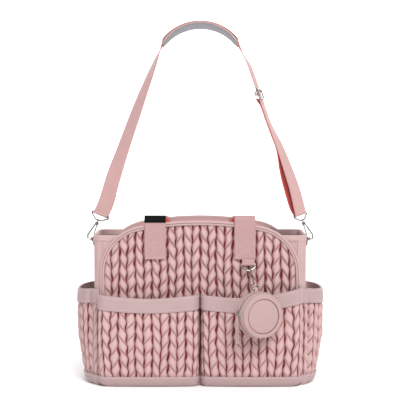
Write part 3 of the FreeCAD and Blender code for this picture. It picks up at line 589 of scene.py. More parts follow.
def gusset(side, name, nodes):
    """A plain end of the body, with the soft vertical folds of a standing bag."""
    plan, out = plan_side(0.0)
    x, y = plan.T
    z = np.linspace(WALL, RIM_Z - 1.5, 90)[:, None]
    fold = 0.55 * np.sin(y * 0.085 + 0.9 * np.sin(z * 0.02)) + 0.35 * np.sin(y * 0.19 + z * 0.035)
    fold = (fold - 0.9) * ease((WALL_Y - abs(y)) / 20) * ease((RIM_Z - z) / 30)
    deep = WALL - 0.1
    outer = xyz(x + out[:, 0] * fold, y + out[:, 1] * fold, z)
    inner = xyz(x - out[:, 0] * deep, y - out[:, 1] * deep, z)
    at = xyz(run_lengths(plan), z, 0)
    if side > 0:
        outer, inner = mirror_x(outer), mirror_x(inner)
    slab(name, outer, inner, *CLOTH, weave=at, flip=side < 0, nodes=nodes)


def corner_seam(x_side, y_side):
    """The raised seam where a gusset meets a wall, with its row of stitches."""
    z = np.arange(FRONT_TOP - 24 if y_side < 0 else 6.0, RIM_Z - 9, 3.0)
    points = xyz(x_side * SEAM_X, y_side * (WALL_Y + 0.2), z)
    section = [(1.3 * math.cos(a), 0.85 * math.sin(a)) for a in np.arange(10) * PI / 5]
    where = side_name(x_side, "left", "right") + "_" + side_name(y_side, "front", "rear")
    sweep(f"corner_seam_{where}", points, np.tile([0, y_side, 0.0], (len(z), 1)), section, *CLOTH)
    stitches(f"corner_stitches_{where}", points + [x_side * -3.5, y_side * -0.15, 0], [0, y_side, 0])


def rim_binding(side, name, nodes=()):
    """The bound rim over a gusset and round to both arches."""
    plan, out = plan_side(0.0, reach=131.0)
    points = xyz(plan[:, 0], plan[:, 1], RIM_Z)
    inside, low = -WALL - LINING - 1, -10.5
    section = [(0.8, low), (0.95, -6), (0.9, -1.6), (0.2, -0.3), (-1.8, 0), (inside + 0.9, -0.3),
               (inside, -1.6), (inside, low), (inside + 0.8, low), (inside + 0.9, -1.5), (-0.05, -1.5),
               (0.0, low)]
    if side > 0:
        points = mirror_x(points)[::-1]
    points, normals = at_lengths(points, np.tile([0, 0, 1.0], (len(points), 1)), 3.0)
    first_out = np.cross(unit(points[1] - points[0]), normals[0])
    if first_out[1] * points[0][1] > 0:
        section = section[::-1]
    else:
        section = [(-across, out_by) for across, out_by in section]
    sweep(name, points, normals, section, *CLOTH, nodes=nodes)
    edge = plan + out * 0.95
    edge, facing = xyz(edge[:, 0], edge[:, 1], RIM_Z - 8.5), xyz(out[:, 0], out[:, 1], 0)
    if side > 0:
        edge, facing = mirror_x(edge), mirror_x(facing)
    stitches(f"{name}_stitches", edge, facing)


def base(nodes):
    """The bottom panel, its edge rolled."""
    w, d, count = BODY_W / 2, BODY_D / 2, 96
    angles = np.linspace(0, 2 * PI, count, endpoint=False)
    c, s = np.cos(angles), np.sin(angles)
    rings = []
    for inset, z in ((9.0, 0.05), (1.2, 0.0), (0.3, 0.6), (0.0, 1.3), (0.4, 2.3), (3.0, 2.45)):
        r = CORNER_R - min(inset, CORNER_R - 2)
        rings.append(xyz(np.sign(c) * (w - inset - r) + r * c, np.sign(s) * (d - inset - r) + r * s, z))
    index = np.arange(len(rings) * count).reshape(len(rings), count)
    faces = [tuple(f) for f in grid_faces(np.hstack([index, index[:, :1]]))]
    faces += [tuple(index[0][::-1]), tuple(index[-1])]
    build("base", np.concatenate(rings), faces, *CLOTH, nodes=nodes)


def lining(nodes):
    """The grey lining: four walls and the floor, hanging a little loose."""
    face, foot, low_top = WALL_Y - WALL, 6.6, RIM_Z - 1.6
    rise = np.linspace(0, 1, 50)[:, None]
    for side in (-1, 1):
        x = np.linspace(-SEAM_X - 10, SEAM_X + 10, 90)
        arch = np.maximum(arch_height(np.clip(x, -150, 150), -1.0), low_top)
        top = np.where(abs(x) < 170, arch, low_top)[None]
        z = foot + (top - foot) * rise
        loose = 0.5 + 0.5 * np.sin(x * 0.06 + 1.5 * np.sin(z * 0.025))
        inner = xyz(x, side * (face - 0.05), z)
        outer = xyz(x, side * (face - LINING - 0.5 * loose * ease((top - z) / 25)), z)
        slab(f"lining_{side_name(side, 'front', 'rear')}", outer, inner, *LINED, weave=outer[..., [0, 2, 1]],
             flip=side < 0, nodes=nodes if side < 0 else ())
    plan, out = plan_side(-WALL - 0.05)
    x, y = plan.T
    z = np.linspace(foot, low_top, 50)[:, None]
    loose = 0.5 + 0.5 * np.sin(y * 0.1 + 1.2 * np.sin(z * 0.03))
    inset = LINING + 0.4 * loose * ease((RIM_Z - z) / 25)
    for side in (-1, 1):
        back = xyz(x, y, z)
        inner = back - xyz(out[:, 0] * inset, out[:, 1] * inset, 0)
        if side > 0:
            back, inner = mirror_x(back), mirror_x(inner)
        slab(f"lining_{side_name(side, 'left', 'right')}", inner, back, *LINED, weave=inner[..., [1, 2, 0]],
             flip=side > 0)
    x, y = np.meshgrid(np.linspace(-189, 189, 60), np.linspace(-78.5, 78.5, 26))
    floor = xyz(x, y, foot + (0.25 * np.sin(x * 0.05 + np.sin(y * 0.07)) + 0.3))
    slab("lining_floor", floor, xyz(x, y, 5.55), *LINED, weave=floor)


def slip_pocket(nodes):
    """The grey slip pocket sewn inside the rear wall, its mouth a little gathered."""
    half, low, high = 110, 60, 165
    x, z = np.meshgrid(np.linspace(-half, half, 120), np.linspace(low, high, 40))
    face = WALL_Y - WALL - LINING - 0.6
    full = ease((half - abs(x)) / 14) * ease((z - low) / 14)
    gather = 0.3 * np.sin(x * 0.42) * ease((z - 140) / 20)
    y = face - 0.9 - (2.4 + gather + 0.3 * np.sin(x * 0.05 + z * 0.03)) * full
    outer = xyz(x, y, z)
    slab("slip_pocket", outer, xyz(x, y + 0.8, z), *LINED, weave=outer[..., [0, 2, 1]], nodes=nodes)
    stitches("slip_pocket_stitches", outer[-4, 2:-2], [0, -1, 0], slot="lining_fabric")


def body_pieces():
    for make, kind in ((panel, "quilted_panel"), (arch_binding, "arch_binding"), (wall, "wall")):
        for side, where in ((-1, "front"), (1, "rear")):
            make(side, f"{kind}_{where}", [f"{where}_{kind}"])
    for side, where in ((-1, "left"), (1, "right")):
        gusset(side, f"gusset_{where}", [f"{where}_gusset"])
    for x_side in (-1, 1):
        for y_side in (-1, 1):
            corner_seam(x_side, y_side)
    rim_binding(-1, "rim_binding_left", ["rim_bindings"])
    rim_binding(1, "rim_binding_right")
    base(["base_panel"])
    lining(["lining"])
    slip_pocket(["inner_slip_pocket"])
    facing_strip(-1)
    facing_strip(1)


# ---- pockets ----
FRONT_X = (-184.0, -2.0)
FRONT_TOP, SIDE_TOP, SIDE_Y, FOOT_R = 168.0, 176.0, 76.0, 13.0
FRONT_LEVELS = [(1.0, 20.0), (BASE_Z, 24.0), (80.0, 31.0), (FRONT_TOP - BAND_H, 30.0), (FRONT_TOP, 27.0)]
SIDE_LEVELS = [(1.0, 17.0), (BASE_Z, 21.0), (90.0, 33.0), (SIDE_TOP - BAND_H, 33.5), (SIDE_TOP, 32.0)]


def even(points, count):
    """A polyline's points, respaced evenly, with outward normals."""
    lengths = run_lengths(points)
    want = np.linspace(0, lengths[-1], count)
    found = np.stack([np.interp(want, lengths, c) for c in points.T], -1)
    along = unit(np.gradient(found, axis=0))
    return found, np.stack([along[:, 1], -along[:, 0]], -1), want


def front_plan(depth, count):
    """The left front pocket in plan, left wall seam to right wall seam; outward normals face the front."""
    x0, x1 = FRONT_X
    front, corner, crown = -WALL_Y - depth, 15.0, 3.0
    a = np.linspace(0, PI / 2, 14)
    left = np.stack([x0 + corner * (1 - np.cos(a)), front + corner * (1 - np.sin(a))], -1)
    t = np.linspace(0, 1, 40)[1:-1]
    middle = np.stack([x0 + corner + (x1 - x0 - 2 * corner) * t, front - crown * 4 * t * (1 - t)], -1)
    right = left[::-1] * [-1, 1] + [x0 + x1, 0]
    seam_y = -WALL_Y - 0.1
    return even(np.concatenate([[[x0, seam_y]], left, middle, right, [[x1, seam_y]]]), count)


def side_plan(depth, count):
    """The left side pocket in plan, rear seam to front seam, bulging to -X."""
    t = np.linspace(-1, 1, 120)
    bulge = (1 - abs(t) ** 3.0) ** 0.8
    x, y = -BODY_W / 2 - 0.1 - (depth + 1.5) * bulge, -SIDE_Y * t
    # past its seam the pocket's cloth lies on the body's corner, up to the front pocket's end
    turn, radius = np.linspace(0, 1.4, 14), CORNER_R + 4.2
    inset, reach = BODY_W / 2 - CORNER_R, WALL_Y - CORNER_R
    corner = np.stack([-inset - radius * np.cos(turn), -reach - radius * np.sin(turn)], -1)
    middle = np.stack([x, y], -1)[abs(y) < reach - 1]
    return even(np.concatenate([corner[::-1] * [1, -1], middle, corner]), count)


def foot_inset(points):
    """How far the left front pocket's foot draws in towards the middle, for its rounded outer corner."""
    rise = np.clip(FOOT_R - points[..., 2], 0, FOOT_R - 1)
    near_end = np.clip((FRONT_X[0] + 34 - points[..., 0]) / 34, 0, 1)
    return (FOOT_R - np.sqrt(FOOT_R**2 - rise**2)) * near_end


def make_pocket(kind, side):
    front = kind == "front"
    plan, levels = (front_plan, FRONT_LEVELS) if front else (side_plan, SIDE_LEVELS)
    level_z, level_depth = np.array(levels).T
    where = side_name(side, "left", "right")
    name = f"{kind}_pocket_{where}"
    cad = f"{kind}_{where}_pocket" if front else f"{where}_{kind}_pocket"
    top, count = levels[-1][0], 270 if front else 190
    band_foot = top - BAND_H
    seed = {"front": 31, "side": 57}[kind] + (side > 0) * 7

    def sag(s):
        """How far the mouth hangs down at a share of its width; the right front one runs up outward."""
        rise = 15.0 * np.clip(1 - s / 0.7, 0, 1) ** 1.5 if front and side > 0 else 0.0
        return (7.5 if front else 5.0) * np.sin(PI * s) ** 1.5 - rise

    def pocket_rows(z_rows, columns):
        """Grids of the left pocket's points and normals, and the lengths along its rows."""
        grid, normals = [], []
        for z in z_rows:
            points, out, lengths = plan(np.interp(z, level_z, level_depth), columns)
            lowered = z - sag(lengths / lengths[-1]) * ease((z - BASE_Z) / (top - BASE_Z))
            grid.append(np.column_stack([points, lowered]))
            normals.append(np.column_stack([out, 0 * lengths]))
        return np.array(grid), np.array(normals), lengths

    def place(grid):
        return mirror_x(grid)[:, ::-1] if side > 0 else grid

    rows = np.linspace(BASE_Z, band_foot, 120)
    grid, out, lengths = pocket_rows(rows, count)
    u, v = np.broadcast_arrays(lengths, rows[:, None])
    height, dark = quilting(u + (0 if side < 0 else 5), v, seed, COLUMN * 1.04)
    ends, seams = np.minimum(v - BASE_Z, band_foot - v), np.minimum(u, lengths[-1] - u)
    puff = height * (0.5 + 0.5 * ease(ends / 9)) * (0.3 + 0.7 * ease(seams / 8))
    outer = grid + out * (-4.2 + 4.4 * puff)[..., None]
    inner = grid - out * 4.9
    at = xyz(u, v, 0) * [-side, 1, 1]
    made = slab(name, place(outer), place(inner), "bag", "quilted_fabric", QUILTED,
                dark[:, ::-1] if side > 0 else dark, place(at), nodes=[cad])

    t = np.linspace(0, 1, 14)[:, None]
    crown = 1.0 - 0.9 * abs(2 * t - 1) ** 6
    for part in ("band", "base_band"):
        low, high = (band_foot - 1.5, top) if part == "band" else (1.0, BASE_Z + 1.0)
        grid, out, lengths = pocket_rows(np.linspace(low, high, 14), count // 2)
        if part == "band":
            outer, inner = grid + out * crown[..., None], grid - out * 3.9
            slot, nodes, stitch_rows = "webbing", [f"{cad}_band"], (2, -3)
        else:
            swell = crown - 4.5 * (1 - t) ** 3
            outer, inner = grid + out * swell[..., None], grid + out * (swell - 2.5)[..., None]
            slot, nodes, stitch_rows = "plain_fabric", [f"{kind}_base_bands"] if side < 0 else [], (-3,)
            for face in (outer, inner) if front else ():
                face[..., 0] += foot_inset(face)
        weave = place(xyz(lengths, grid[..., 2], 0))
        slab(f"{name}_{part}", place(outer), place(inner), "bag", slot, BAND, weave=weave, nodes=nodes)
        for k, row in enumerate(stitch_rows):
            line, facing = place(outer[row:row + 1])[0], place(out[row:row + 1])[0]
            stitches(f"{name}_{part}_stitches{k}", line[3:-3], facing[3:-3], lift=0.1)


def pocket_pieces():
    for kind in ("front", "side"):
        for side in (-1, 1):
            make_pocket(kind, side)
    x, z = np.meshgrid(np.linspace(-SEAM_X, SEAM_X, 120), np.linspace(1.0, BASE_Z, 12))
    t = (z - 1) / (BASE_Z - 1)
    outer = xyz(x, QUILT_Y - 1.0 - 1.2 * (2 * t - 1) ** 6, z)
    slab("rear_base_band", outer, xyz(x, WALL_Y + CLEAR, z), *CLOTH, weave=outer[..., [0, 2, 1]], flip=True,
         nodes=["rear_base_band"])
    stitches("rear_base_band_stitches", outer[-3], [0, 1, 0])


# ---- grab handles ----
def handle_route(bend_z, fold_r):
    """A front handle's middle line, outward normals and width directions, left foot to right foot."""
    y_leg = -QUILT_Y - HANDLE_T / 2 - 0.1
    width = -HINGE_Y - y_leg  # from the leg to the hinge line
    leg = [(-HANDLE_X, y_leg, z, 0, -1, 0, 1, 0, 0) for z in np.linspace(HANDLE_FOOT_Z, bend_z, 18)]
    fold = []
    for a in np.linspace(0, PI, 17)[1:]:
        y = -HINGE_Y - math.copysign(width - fold_r, math.cos(a)) - fold_r * math.cos(a)
        x = -HANDLE_X + LOOP_INWARD * max(0, -math.cos(a)) ** 4
        fold.append((x, y, bend_z + fold_r * math.sin(a), 0, -math.cos(a), math.sin(a), 1, 0, 0))
    loop = []
    start_y, start_z = -HINGE_Y + width, bend_z - LOOP_GAP
    half_span, depth = HANDLE_X - LOOP_INWARD, 20
    for t in np.linspace(0, PI / 2, 22):
        c, s = math.cos(t), math.sin(t)
        along = unit([half_span * s, depth * c, -LOOP_DROP * c])
        across = np.array([c, s, 0])
        across = unit(across - along * np.dot(across, along))
        point = (-half_span * c, start_y + depth * s, start_z - LOOP_DROP * s)
        loop.append((*point, *np.cross(across, along), *across))
    half = np.array(leg + fold + loop)
    other = half[::-1][1:] * [-1, 1, 1, -1, 1, 1, 1, -1, -1]
    return np.concatenate([half, other])


def bend_at_hinge(made):
    """Bake a handle piece's placement into its mesh."""
    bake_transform(made)


def handle_pieces():
    for y_side, name, fold in ((1, "front", FRONT_FOLD), (-1, "rear", REAR_FOLD)):
        route = handle_route(*fold)
        points, turns = at_lengths(route[:, :3], route[:, 3:], 2.4)
        flip = np.array([1, y_side, 1.0])
        made = sweep(f"{name}_handle", points * flip, unit(turns[:, :3]) * flip,
                     strap_profile(HANDLE_W, HANDLE_T, 14)[::y_side], None, "webbing", WEBBING,
                     wide=unit(turns[:, 3:]) * flip, nodes=[f"{name}_handle_legs", f"{name}_handle_loop"])
        bend_at_hinge(made)
        for x_side, where in ((-1, "left"), (1, "right")):
            box_stitch(f"{name}_{where}_handle_stitches", x_side * HANDLE_X,
                       y_side * (-QUILT_Y - HANDLE_T - 0.15), y_side)


def box_stitch(name, x, y, y_side):
    """The stitched box and cross that hold a handle's foot."""
    half, low, high = HANDLE_W / 2 - 3.0, HANDLE_FOOT_Z + 3, HANDLE_FOOT_Z + 31
    box = [(-half, low), (half, low), (half, high), (-half, high), (-half, low), (half, high)]
    for part, corners in (("box", box), ("cross", [(-half, high), (half, low)])):
        line = dense_line([(x + dx, y, z) for dx, z in corners], 9)
        stitches(f"{name}_{part}", line, [0, -y_side, 0], slot="webbing")


def label():
    """The small woven label over the left handle's fold: left blank."""
    bend_z = FRONT_FOLD[0]
    radius = QUILT_Y - HINGE_Y + HANDLE_T + 0.6
    low = [(-HANDLE_X, -HINGE_Y - radius, z, 0, -1, 0) for z in np.linspace(bend_z - 4, bend_z, 3)]
    over = [(-HANDLE_X, -HINGE_Y - radius * math.cos(a), bend_z + radius * math.sin(a), 0, -math.cos(a),
             math.sin(a)) for a in np.linspace(0, PI / 2, 10)[1:]]
    route = np.array(low + over)
    made = sweep("blank_label", route[:, :3], route[:, 3:], strap_profile(HANDLE_W + 0.6, 0.7, 16), None,
                 "label", DARK_LABEL, nodes=["handle_label"])
    bend_at_hinge(made)


# ---- shoulder strap ----
SLIDER_AT, SLIDER_ALONG = np.array([110.8, 0, 532.0]), unit([0.321, 0, -0.947])
SLIDER_TURN, SLIDER_REACH = 15.0, 56.0
BAR_OFFSET = WIRE_R + 0.1 + STRAP_T / 2
CLOSE_GAP, SLIDER_GAP = 2.1, 6.6    # how far the return ply lies behind the outer one
BOW_TOP, WRAP_T = 456.0, 1.2        # below BOW_TOP the two plies stand apart
CLAW_UP = np.array([math.sin(CLAW_TILT), 0, math.cos(CLAW_TILT)])


def leaned(points, about=PIVOT):
    """The strap's upright shape, tipped back to where it stands."""
    a = math.radians(STRAP_LEAN)
    turn = np.array([[1, 0, 0], [0, math.cos(a), -math.sin(a)], [0, math.sin(a), math.cos(a)]])
    return (np.asarray(points) - about) @ turn.T + about


def lean_both(points, normals):
    return leaned(points), leaned(normals, 0 * PIVOT)


def facing(along, turn, side):
    """The strap's outward normal, turned to the front by turn degrees; side is 1 on the right leg."""
    along = unit(along)
    outward = np.array([-along[2] * side, 0, along[0] * side])
    a = math.radians(turn)
    return outward * math.cos(a) - np.array([0, 1.0, 0]) * math.sin(a)


def leg_run(points, turns, side):
    path = smooth_path(points)
    along = np.gradient(path, axis=0)
    turns = smooth_path(np.array(turns, float)[:, None])[:, 0]
    return path, np.array([facing(a, t, side) for a, t in zip(along, turns)])


def strap_legs():
    """Middle lines and normals of the left leg (pad to hook) and of the right leg's outer ply."""
    left_bar = CLAW_FOOT + CLAW_UP * LOOP_TOP
    right_bar, right_up = left_bar * [-1, 1, 1], CLAW_UP * [-1, 1, 1]
    left = leg_run([(-PAD_END_X, 0, PAD_END_Z), (-87, 0, 588), (-115, 0, 513), (-145, 0, 427),
                    (-161, 0, 379), left_bar + CLAW_UP * 26, left_bar + CLAW_UP * 3],
                   [0, 19, 38, 50, 62, 66, 66], -1)
    end_out = facing(-right_up, 45, 1)
    top, foot = SLIDER_AT - SLIDER_ALONG * SLIDER_REACH, SLIDER_AT + SLIDER_ALONG * SLIDER_REACH
    right = leg_run([(PAD_END_X, 0, PAD_END_Z), (83, 0, 603), top, SLIDER_AT, foot, (149, 0, 432),
                     (166, 0, 385), (178, 0, 347), right_bar + end_out * BAR_OFFSET],
                    [0, 8, 15, 15, 15, 27, 36, 41, 45], 1)
    return left, right, left_bar, right_bar, right_up, end_out


def pad_line(lift, steps=41):
    """The pad's arc, lifted along its normal."""
    radius = (PAD_END_X**2 + PAD_RISE**2) / (2 * PAD_RISE)
    reach = math.asin(PAD_END_X / radius)
    angles = np.linspace(-reach, reach, steps)
    normals = xyz(np.sin(angles), 0, np.cos(angles))
    middle = np.array([0, 0, PAD_END_Z + PAD_RISE - radius])
    return middle + normals * (radius + lift), normals, (angles + reach) / (2 * reach) * PI


def strap_eye(name, bar, out, up):
    """Webbing round the bar of one of the strap's loops, open at the top."""
    angles = np.linspace(-0.42 * PI, 1.42 * PI, 22)[:, None]
    normals = unit(out) * np.cos(angles) - up * np.sin(angles)
    points = bar + normals * (WIRE_R + 0.15 + STRAP_T / 2)
    sweep(name, *lean_both(points, normals), strap_profile(STRAP_W, STRAP_T), *STRAP)


def strap_pieces():
    left, right, left_bar, right_bar, right_up, end_out = strap_legs()
    over, over_out, _ = pad_line(3.9)
    spine, outs = (np.concatenate([a[::-1], b[2:-2], c])
                   for a, b, c in ((left[0], over, right[0]), (left[1], over_out, right[1])))
    points, normals = at_lengths(spine, outs, 3.0)
    section = strap_profile(STRAP_W, STRAP_T)
    sweep("strap_webbing", *lean_both(points, unit(normals)), section, *STRAP,
          nodes=["left_strap_webbing", "right_strap_webbing"])

    low = right[0][:, 2] < SLIDER_AT[2]
    outer, outs = right[0][low], right[1][low]
    share = (BOW_TOP - outer[:, 2]) / (BOW_TOP - right_bar[2])
    gaps = smooth_path([(0, CLOSE_GAP), (0.2, 2.4), (0.4, 8.6), (0.57, 11.8), (0.75, 12.2), (0.91, 10.2),
                        (1, 2 * BAR_OFFSET)])
    behind = np.interp(share, gaps[:, 0], gaps[:, 1])
    behind += (SLIDER_GAP - CLOSE_GAP) * ease((outer[:, 2] - SLIDER_AT[2] + 24) / 18)
    points, normals = at_lengths(outer - outs * behind[:, None], outs, 3.0)
    made = sweep("strap_return", *lean_both(points, -unit(normals)), section, None, *STRAP[1:],
                 nodes=["right_strap_return"])
    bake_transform(made)

    left_out = left[1][-1]
    left_wide = unit(np.cross(CLAW_UP, left_out))
    strap_eye("left_strap_eye", left_bar, np.cross(left_wide, CLAW_UP), CLAW_UP)
    right_wide = unit(np.cross(right_up, end_out))
    strap_eye("right_strap_eye", right_bar, np.cross(right_wide, right_up), right_up)
    tail, tail_out = left[0][-12:], left[1][-12:]
    sweep("left_strap_tail", *lean_both(tail - tail_out * STRAP_T, tail_out), section, *STRAP)
    for up in (8, 22):
        centre = left_bar + CLAW_UP * up + left_out * (STRAP_T / 2 + 0.1)
        line = np.array([centre + left_wide * w for w in np.linspace(-13, 13, 9)])
        stitches(f"strap_stitches_{up}", *lean_both(line, left_out), "shoulder_strap", "webbing")
    slider_wrap()
    shoulder_pad()


def slider_wrap():
    """The return ply's sewn end, round the slider's middle bar."""
    out = facing(SLIDER_ALONG, SLIDER_TURN, 1)
    bar, bar_r = SLIDER_AT + out * -4.4, 1.25
    angles = np.linspace(0, 2 * PI, 26, endpoint=False)[:, None]
    normals = out * np.cos(angles) + SLIDER_ALONG * np.sin(angles)
    points = bar + normals * (bar_r + 0.15 + WRAP_T / 2)
    sweep("slider_wrap", *lean_both(points, normals), strap_profile(STRAP_W, WRAP_T), "strap_slider",
          *STRAP[1:], loop=True, nodes=["slider_wrap"])


def shoulder_pad():
    """Pink padded cover with a grey lining under it and a stitched channel along each edge."""
    points, normals, t = pad_line(0.0, 61)
    t = t[:, None]
    half = (36 + 22 * np.sin(t) ** 0.6) / 2
    a = np.linspace(-1, 1, 33)[None]
    wide = np.array([0, 1.0, 0])

    def grid(lift, squeeze=1.0):
        sides = points[:, None] + wide * (a * (half * squeeze))[..., None]
        return leaned(sides + normals[:, None] * lift[..., None])

    ends = ease(np.minimum(t, PI - t) / 0.16)
    crown = (1 - abs(a) ** 3.0) ** 0.6
    channel = 0.9 * bell((abs(a) - 0.80) / 0.06)
    full = 0.35 + 0.65 * ends
    top = -1.2 + (4.1 * crown - channel) * full + 0.12 * np.sin(t * 40) * crown
    under = -1.4 - 2.6 * crown * full
    cover, at = grid(top), xyz(half * a, t * 70, 0)
    # the stitched channels take a little painted shade
    made = slab("shoulder_pad_cover", cover, grid(under), "shoulder_strap", "plain_fabric", FABRIC,
                np.broadcast_to(0.25 * channel, top.shape), at,
                nodes=["shoulder_pad_cover", "shoulder_pad_foam"])
    low, rib = under - 0.1, 0.22 * np.sin(a * 26)
    slab("shoulder_pad_lining", grid(low, 0.93), grid(low - 1.0 - rib * ends, 0.93), "shoulder_strap",
         "lining_fabric", GREY, None, at, nodes=["shoulder_pad_lining"])
    for side in (-1, 1):
        outs = leaned(normals[3:-3], 0 * PIVOT)
        edge = cover[3:-3, 16 + side * 13] + outs * 0.2
        stitches(f"pad_stitches_{side_name(side, 'front', 'rear')}", edge, outs, "shoulder_strap")


# ---- tabs ----
def side_tab(side, nodes=()):
    """The webbing tab that holds a D-ring on a gusset."""
    radius = WIRE_R + 0.2 + 0.65
    face, foot = -BODY_W / 2 - 0.7, 217
    over = [(-RING_X - radius * math.cos(a), 0, RING_Z + radius * math.sin(a), -math.cos(a), 0, math.sin(a))
            for a in np.linspace(-0.15 * PI, 1.0 * PI, 16)]
    outer = [(face - 1.4, 0, z, -1, 0, 0) for z in np.linspace(foot, RING_Z - 5, 12)]
    inner = [(face, 0, z, 1, 0, 0) for z in np.linspace(RING_Z - 1, foot, 12)]
    route = np.array(outer + over + inner)
    route[:, [0, 3]] *= -side
    points, normals = at_lengths(route[:, :3], route[:, 3:], 1.2)
    name = f"{side_name(side, 'left', 'right')}_d_ring_tab"
    sweep(name, points, unit(normals), strap_profile(TAB_W, 1.3), *TAPE, nodes=nodes)
    x = side * (-face + 1.4 + 0.75)
    box = dense_line([(x, y, z) for y, z in ((-8, 220), (8, 220), (8, 247), (-8, 247), (-8, 220))], 8)
    stitches(f"{name}_stitches", box, [side, 0, 0], slot="webbing")


# ---- clip-on pouch ----
ZIP_ANGLE = math.radians(172)
PULL_R = POUCH_R + 4.9
FACE_SHIFT = np.array([-0.1, 0, -0.9])  # the recessed face sits this far off the lid's centre
# how the lid shifts and narrows from the zip to its face
LID_LEAN, LID_TAPER = np.array([2.0, 0, -1.3]), 2.2
FACE_R = 32.3
TAB_BAR = np.array([-5.7, 5.7, 45.5])
POUCH_SKIN = ("plain_fabric", POUCH_CLOTH)


def to_pouch(points):
    """From the pouch's own frame, front towards -Y, to its place."""
    a = math.radians(POUCH_TURN)
    turn = np.array([[math.cos(a), -math.sin(a), 0], [math.sin(a), math.cos(a), 0], [0, 0, 1]])
    return np.asarray(points) @ turn.T + POUCH_CENTRE


def to_pouch_both(points, normals):
    return to_pouch(points), to_pouch(normals) - POUCH_CENTRE


def to_lid(points):
    """The lid narrows towards its face, most on its upper left, so that the zip shows there."""
    t = np.clip(-points[..., 1:2] / 9, 0, 1)
    return points * (1 - LID_TAPER / POUCH_R * t * [1, 0, 1]) + LID_LEAN * t


def circle(count, whole=False):
    """Directions round the pouch's axis; whole ends where it starts."""
    angles = np.linspace(0, 2 * PI, count, endpoint=whole)
    return xyz(np.cos(angles), 0, np.sin(angles))


def turned(name, outer, inner, body, ripple=0.0, nodes=(), dark=()):
    """A round shell from two profiles of (radius, y) in the pouch's frame; its face sits off centre."""
    angles = np.linspace(0, 2 * PI, 160, endpoint=False)
    outer, inner = (at_lengths(np.column_stack([p, np.zeros(len(p))]), np.zeros((len(p), 1)), 0.9)[0]
                    for p in (outer, inner))
    count = max(len(outer), len(inner))
    grids = []
    for profile in (outer, inner):
        picks = np.linspace(0, len(profile) - 1, count)
        r, y = (np.interp(picks, np.arange(len(profile)), profile[:, i])[:, None] for i in (0, 1))
        if profile is outer and ripple:
            waves = np.sin(3 * angles + r * 0.21) * np.sin(r * 0.11) * np.sin(2 * angles + 1)
            y = y + ripple * waves * (r < 30)
        grids.append(xyz(r * np.cos(angles), y, r * np.sin(angles)))
    radii = np.hypot(grids[0][..., 0], grids[0][..., 2])
    for grid in grids:
        shift = ease((POUCH_R - 2.5 - np.hypot(grid[..., 0], grid[..., 2])) / 5) * (grid[..., 1] < -9.5)
        grid += FACE_SHIFT * shift[..., None]
        grid[:] = to_lid(grid)
    # painted shade in a thin ring on the lid's face, at each radius in dark, round the recessed face
    crease = sum((bell((radii - r) / 0.6) * (grids[0][..., 1] < -9) for r in dark), 0 * radii)
    at = grids[0][..., [0, 2, 1]] * [1, 1, 0]
    return slab(name, to_pouch(grids[0]), to_pouch(grids[1]), body, *POUCH_SKIN, crease, at, wrap=True,
                flip=outer[0][1] > 0, nodes=nodes)


def zip_teeth(name, side, body):
    """Half of the zip's teeth, on one tape: small rounded blocks round the pouch's edge."""
    verts, faces = [], []
    count = 128
    block = [(-0.42, 0.0), (0.42, 0.0), (0.42, 1.35), (0.2, 1.6), (-0.2, 1.6), (-0.42, 1.35)]
    ring = len(block)
    for k in range(count):
        angle = 2 * PI * (k + (0.5 if side > 0 else 0)) / count
        out = np.array([math.cos(angle), 0, math.sin(angle)])
        along = np.array([-math.sin(angle), 0, math.cos(angle)])
        first = len(verts)
        for r in (POUCH_R - 0.9, POUCH_R + 0.25):
            for s, y in block:
                verts.append(out * r + along * s + np.array([0, side * (1.35 - y), 0]))
        around = [(i, (i + 1) % ring) for i in range(ring)]
        shell = [(first + i, first + j, first + ring + j, first + ring + i) for i, j in around]
        shell.append(tuple(range(first + ring, first + 2 * ring)))
        shell.append(tuple(range(first + ring - 1, first - 1, -1)))
        faces += [face[::side] for face in shell]
    return build(name, to_pouch(verts), faces, body, "zip_chain", BRASS)


def pouch_pieces():
    r, half = POUCH_R, POUCH_T / 2
    side_wall = [(r - 1.6, 1.75), (r - 0.6, 2.2), (r - 0.1, 4.0), (r - 0.3, 7.5), (r + 0.3, 8.3),
                 (r + 0.45, 9.2), (r - 0.1, 10.2), (r - 1.2, 10.6)]
    front_face = [(r - 3.0, 10.8), (FACE_R + 2.2, 11.4), (FACE_R + 0.9, 11.1), (FACE_R, 9.7),
                  (FACE_R - 1.0, 10.2), (FACE_R - 2.9, 11.0), (22, 11.7), (10, 12.1), (0.02, 12.2)]
    back_face = [(r - 3.0, 10.5), (20, 10.7), (0.02, 10.7)]
    hollow = [(r - 3.4, 1.8), (r - 3.6, half - 3.4), (r - 5.0, half - 2.6), (0.02, half - 2.4)]

    def forward(profile):
        return [(radius, -y) for radius, y in profile]

    lid = turned("pouch_lid", forward(side_wall + front_face), forward(hollow), "pouch_lid", 0.35,
                 ["pouch_lid"], (FACE_R,))
    turned("pouch_back", side_wall + back_face, hollow, "pouch", nodes=["pouch_back"])
    section = [(-0.85, -2.2), (0.85, -2.2), (0.85, -0.2), (-0.85, -0.2)]
    outs = circle(160)
    for side, body, name in ((1, "pouch", "back"), (-1, "pouch_lid", "lid")):
        sweep(f"zip_tape_{name}", *to_pouch_both(outs * (r - 0.6) + [0, side, 0], outs), section, body,
              *POUCH_SKIN, loop=True, nodes=[f"pouch_zip_tape_{name}"])
        zip_teeth(f"zip_teeth_{name}", side, body)
    outs = circle(120, whole=True)
    seams = ((outs * (r - 0.15) - [0, 4.3, 0], outs, "pouch_lid"),
             (outs * (r - 0.15) + [0, 5.0, 0], outs, "pouch"),
             (outs * (FACE_R + 2.4) + FACE_SHIFT * 0.9 - [0, 11.45, 0], [0, -1.0, 0], "pouch_lid"))
    for k, (line, line_out, body) in enumerate(seams):
        stitches(f"pouch_stitches_{k}", *to_pouch_both(to_lid(line), line_out), body)
    zip_pull()
    pouch_tab()
    charm_tab()


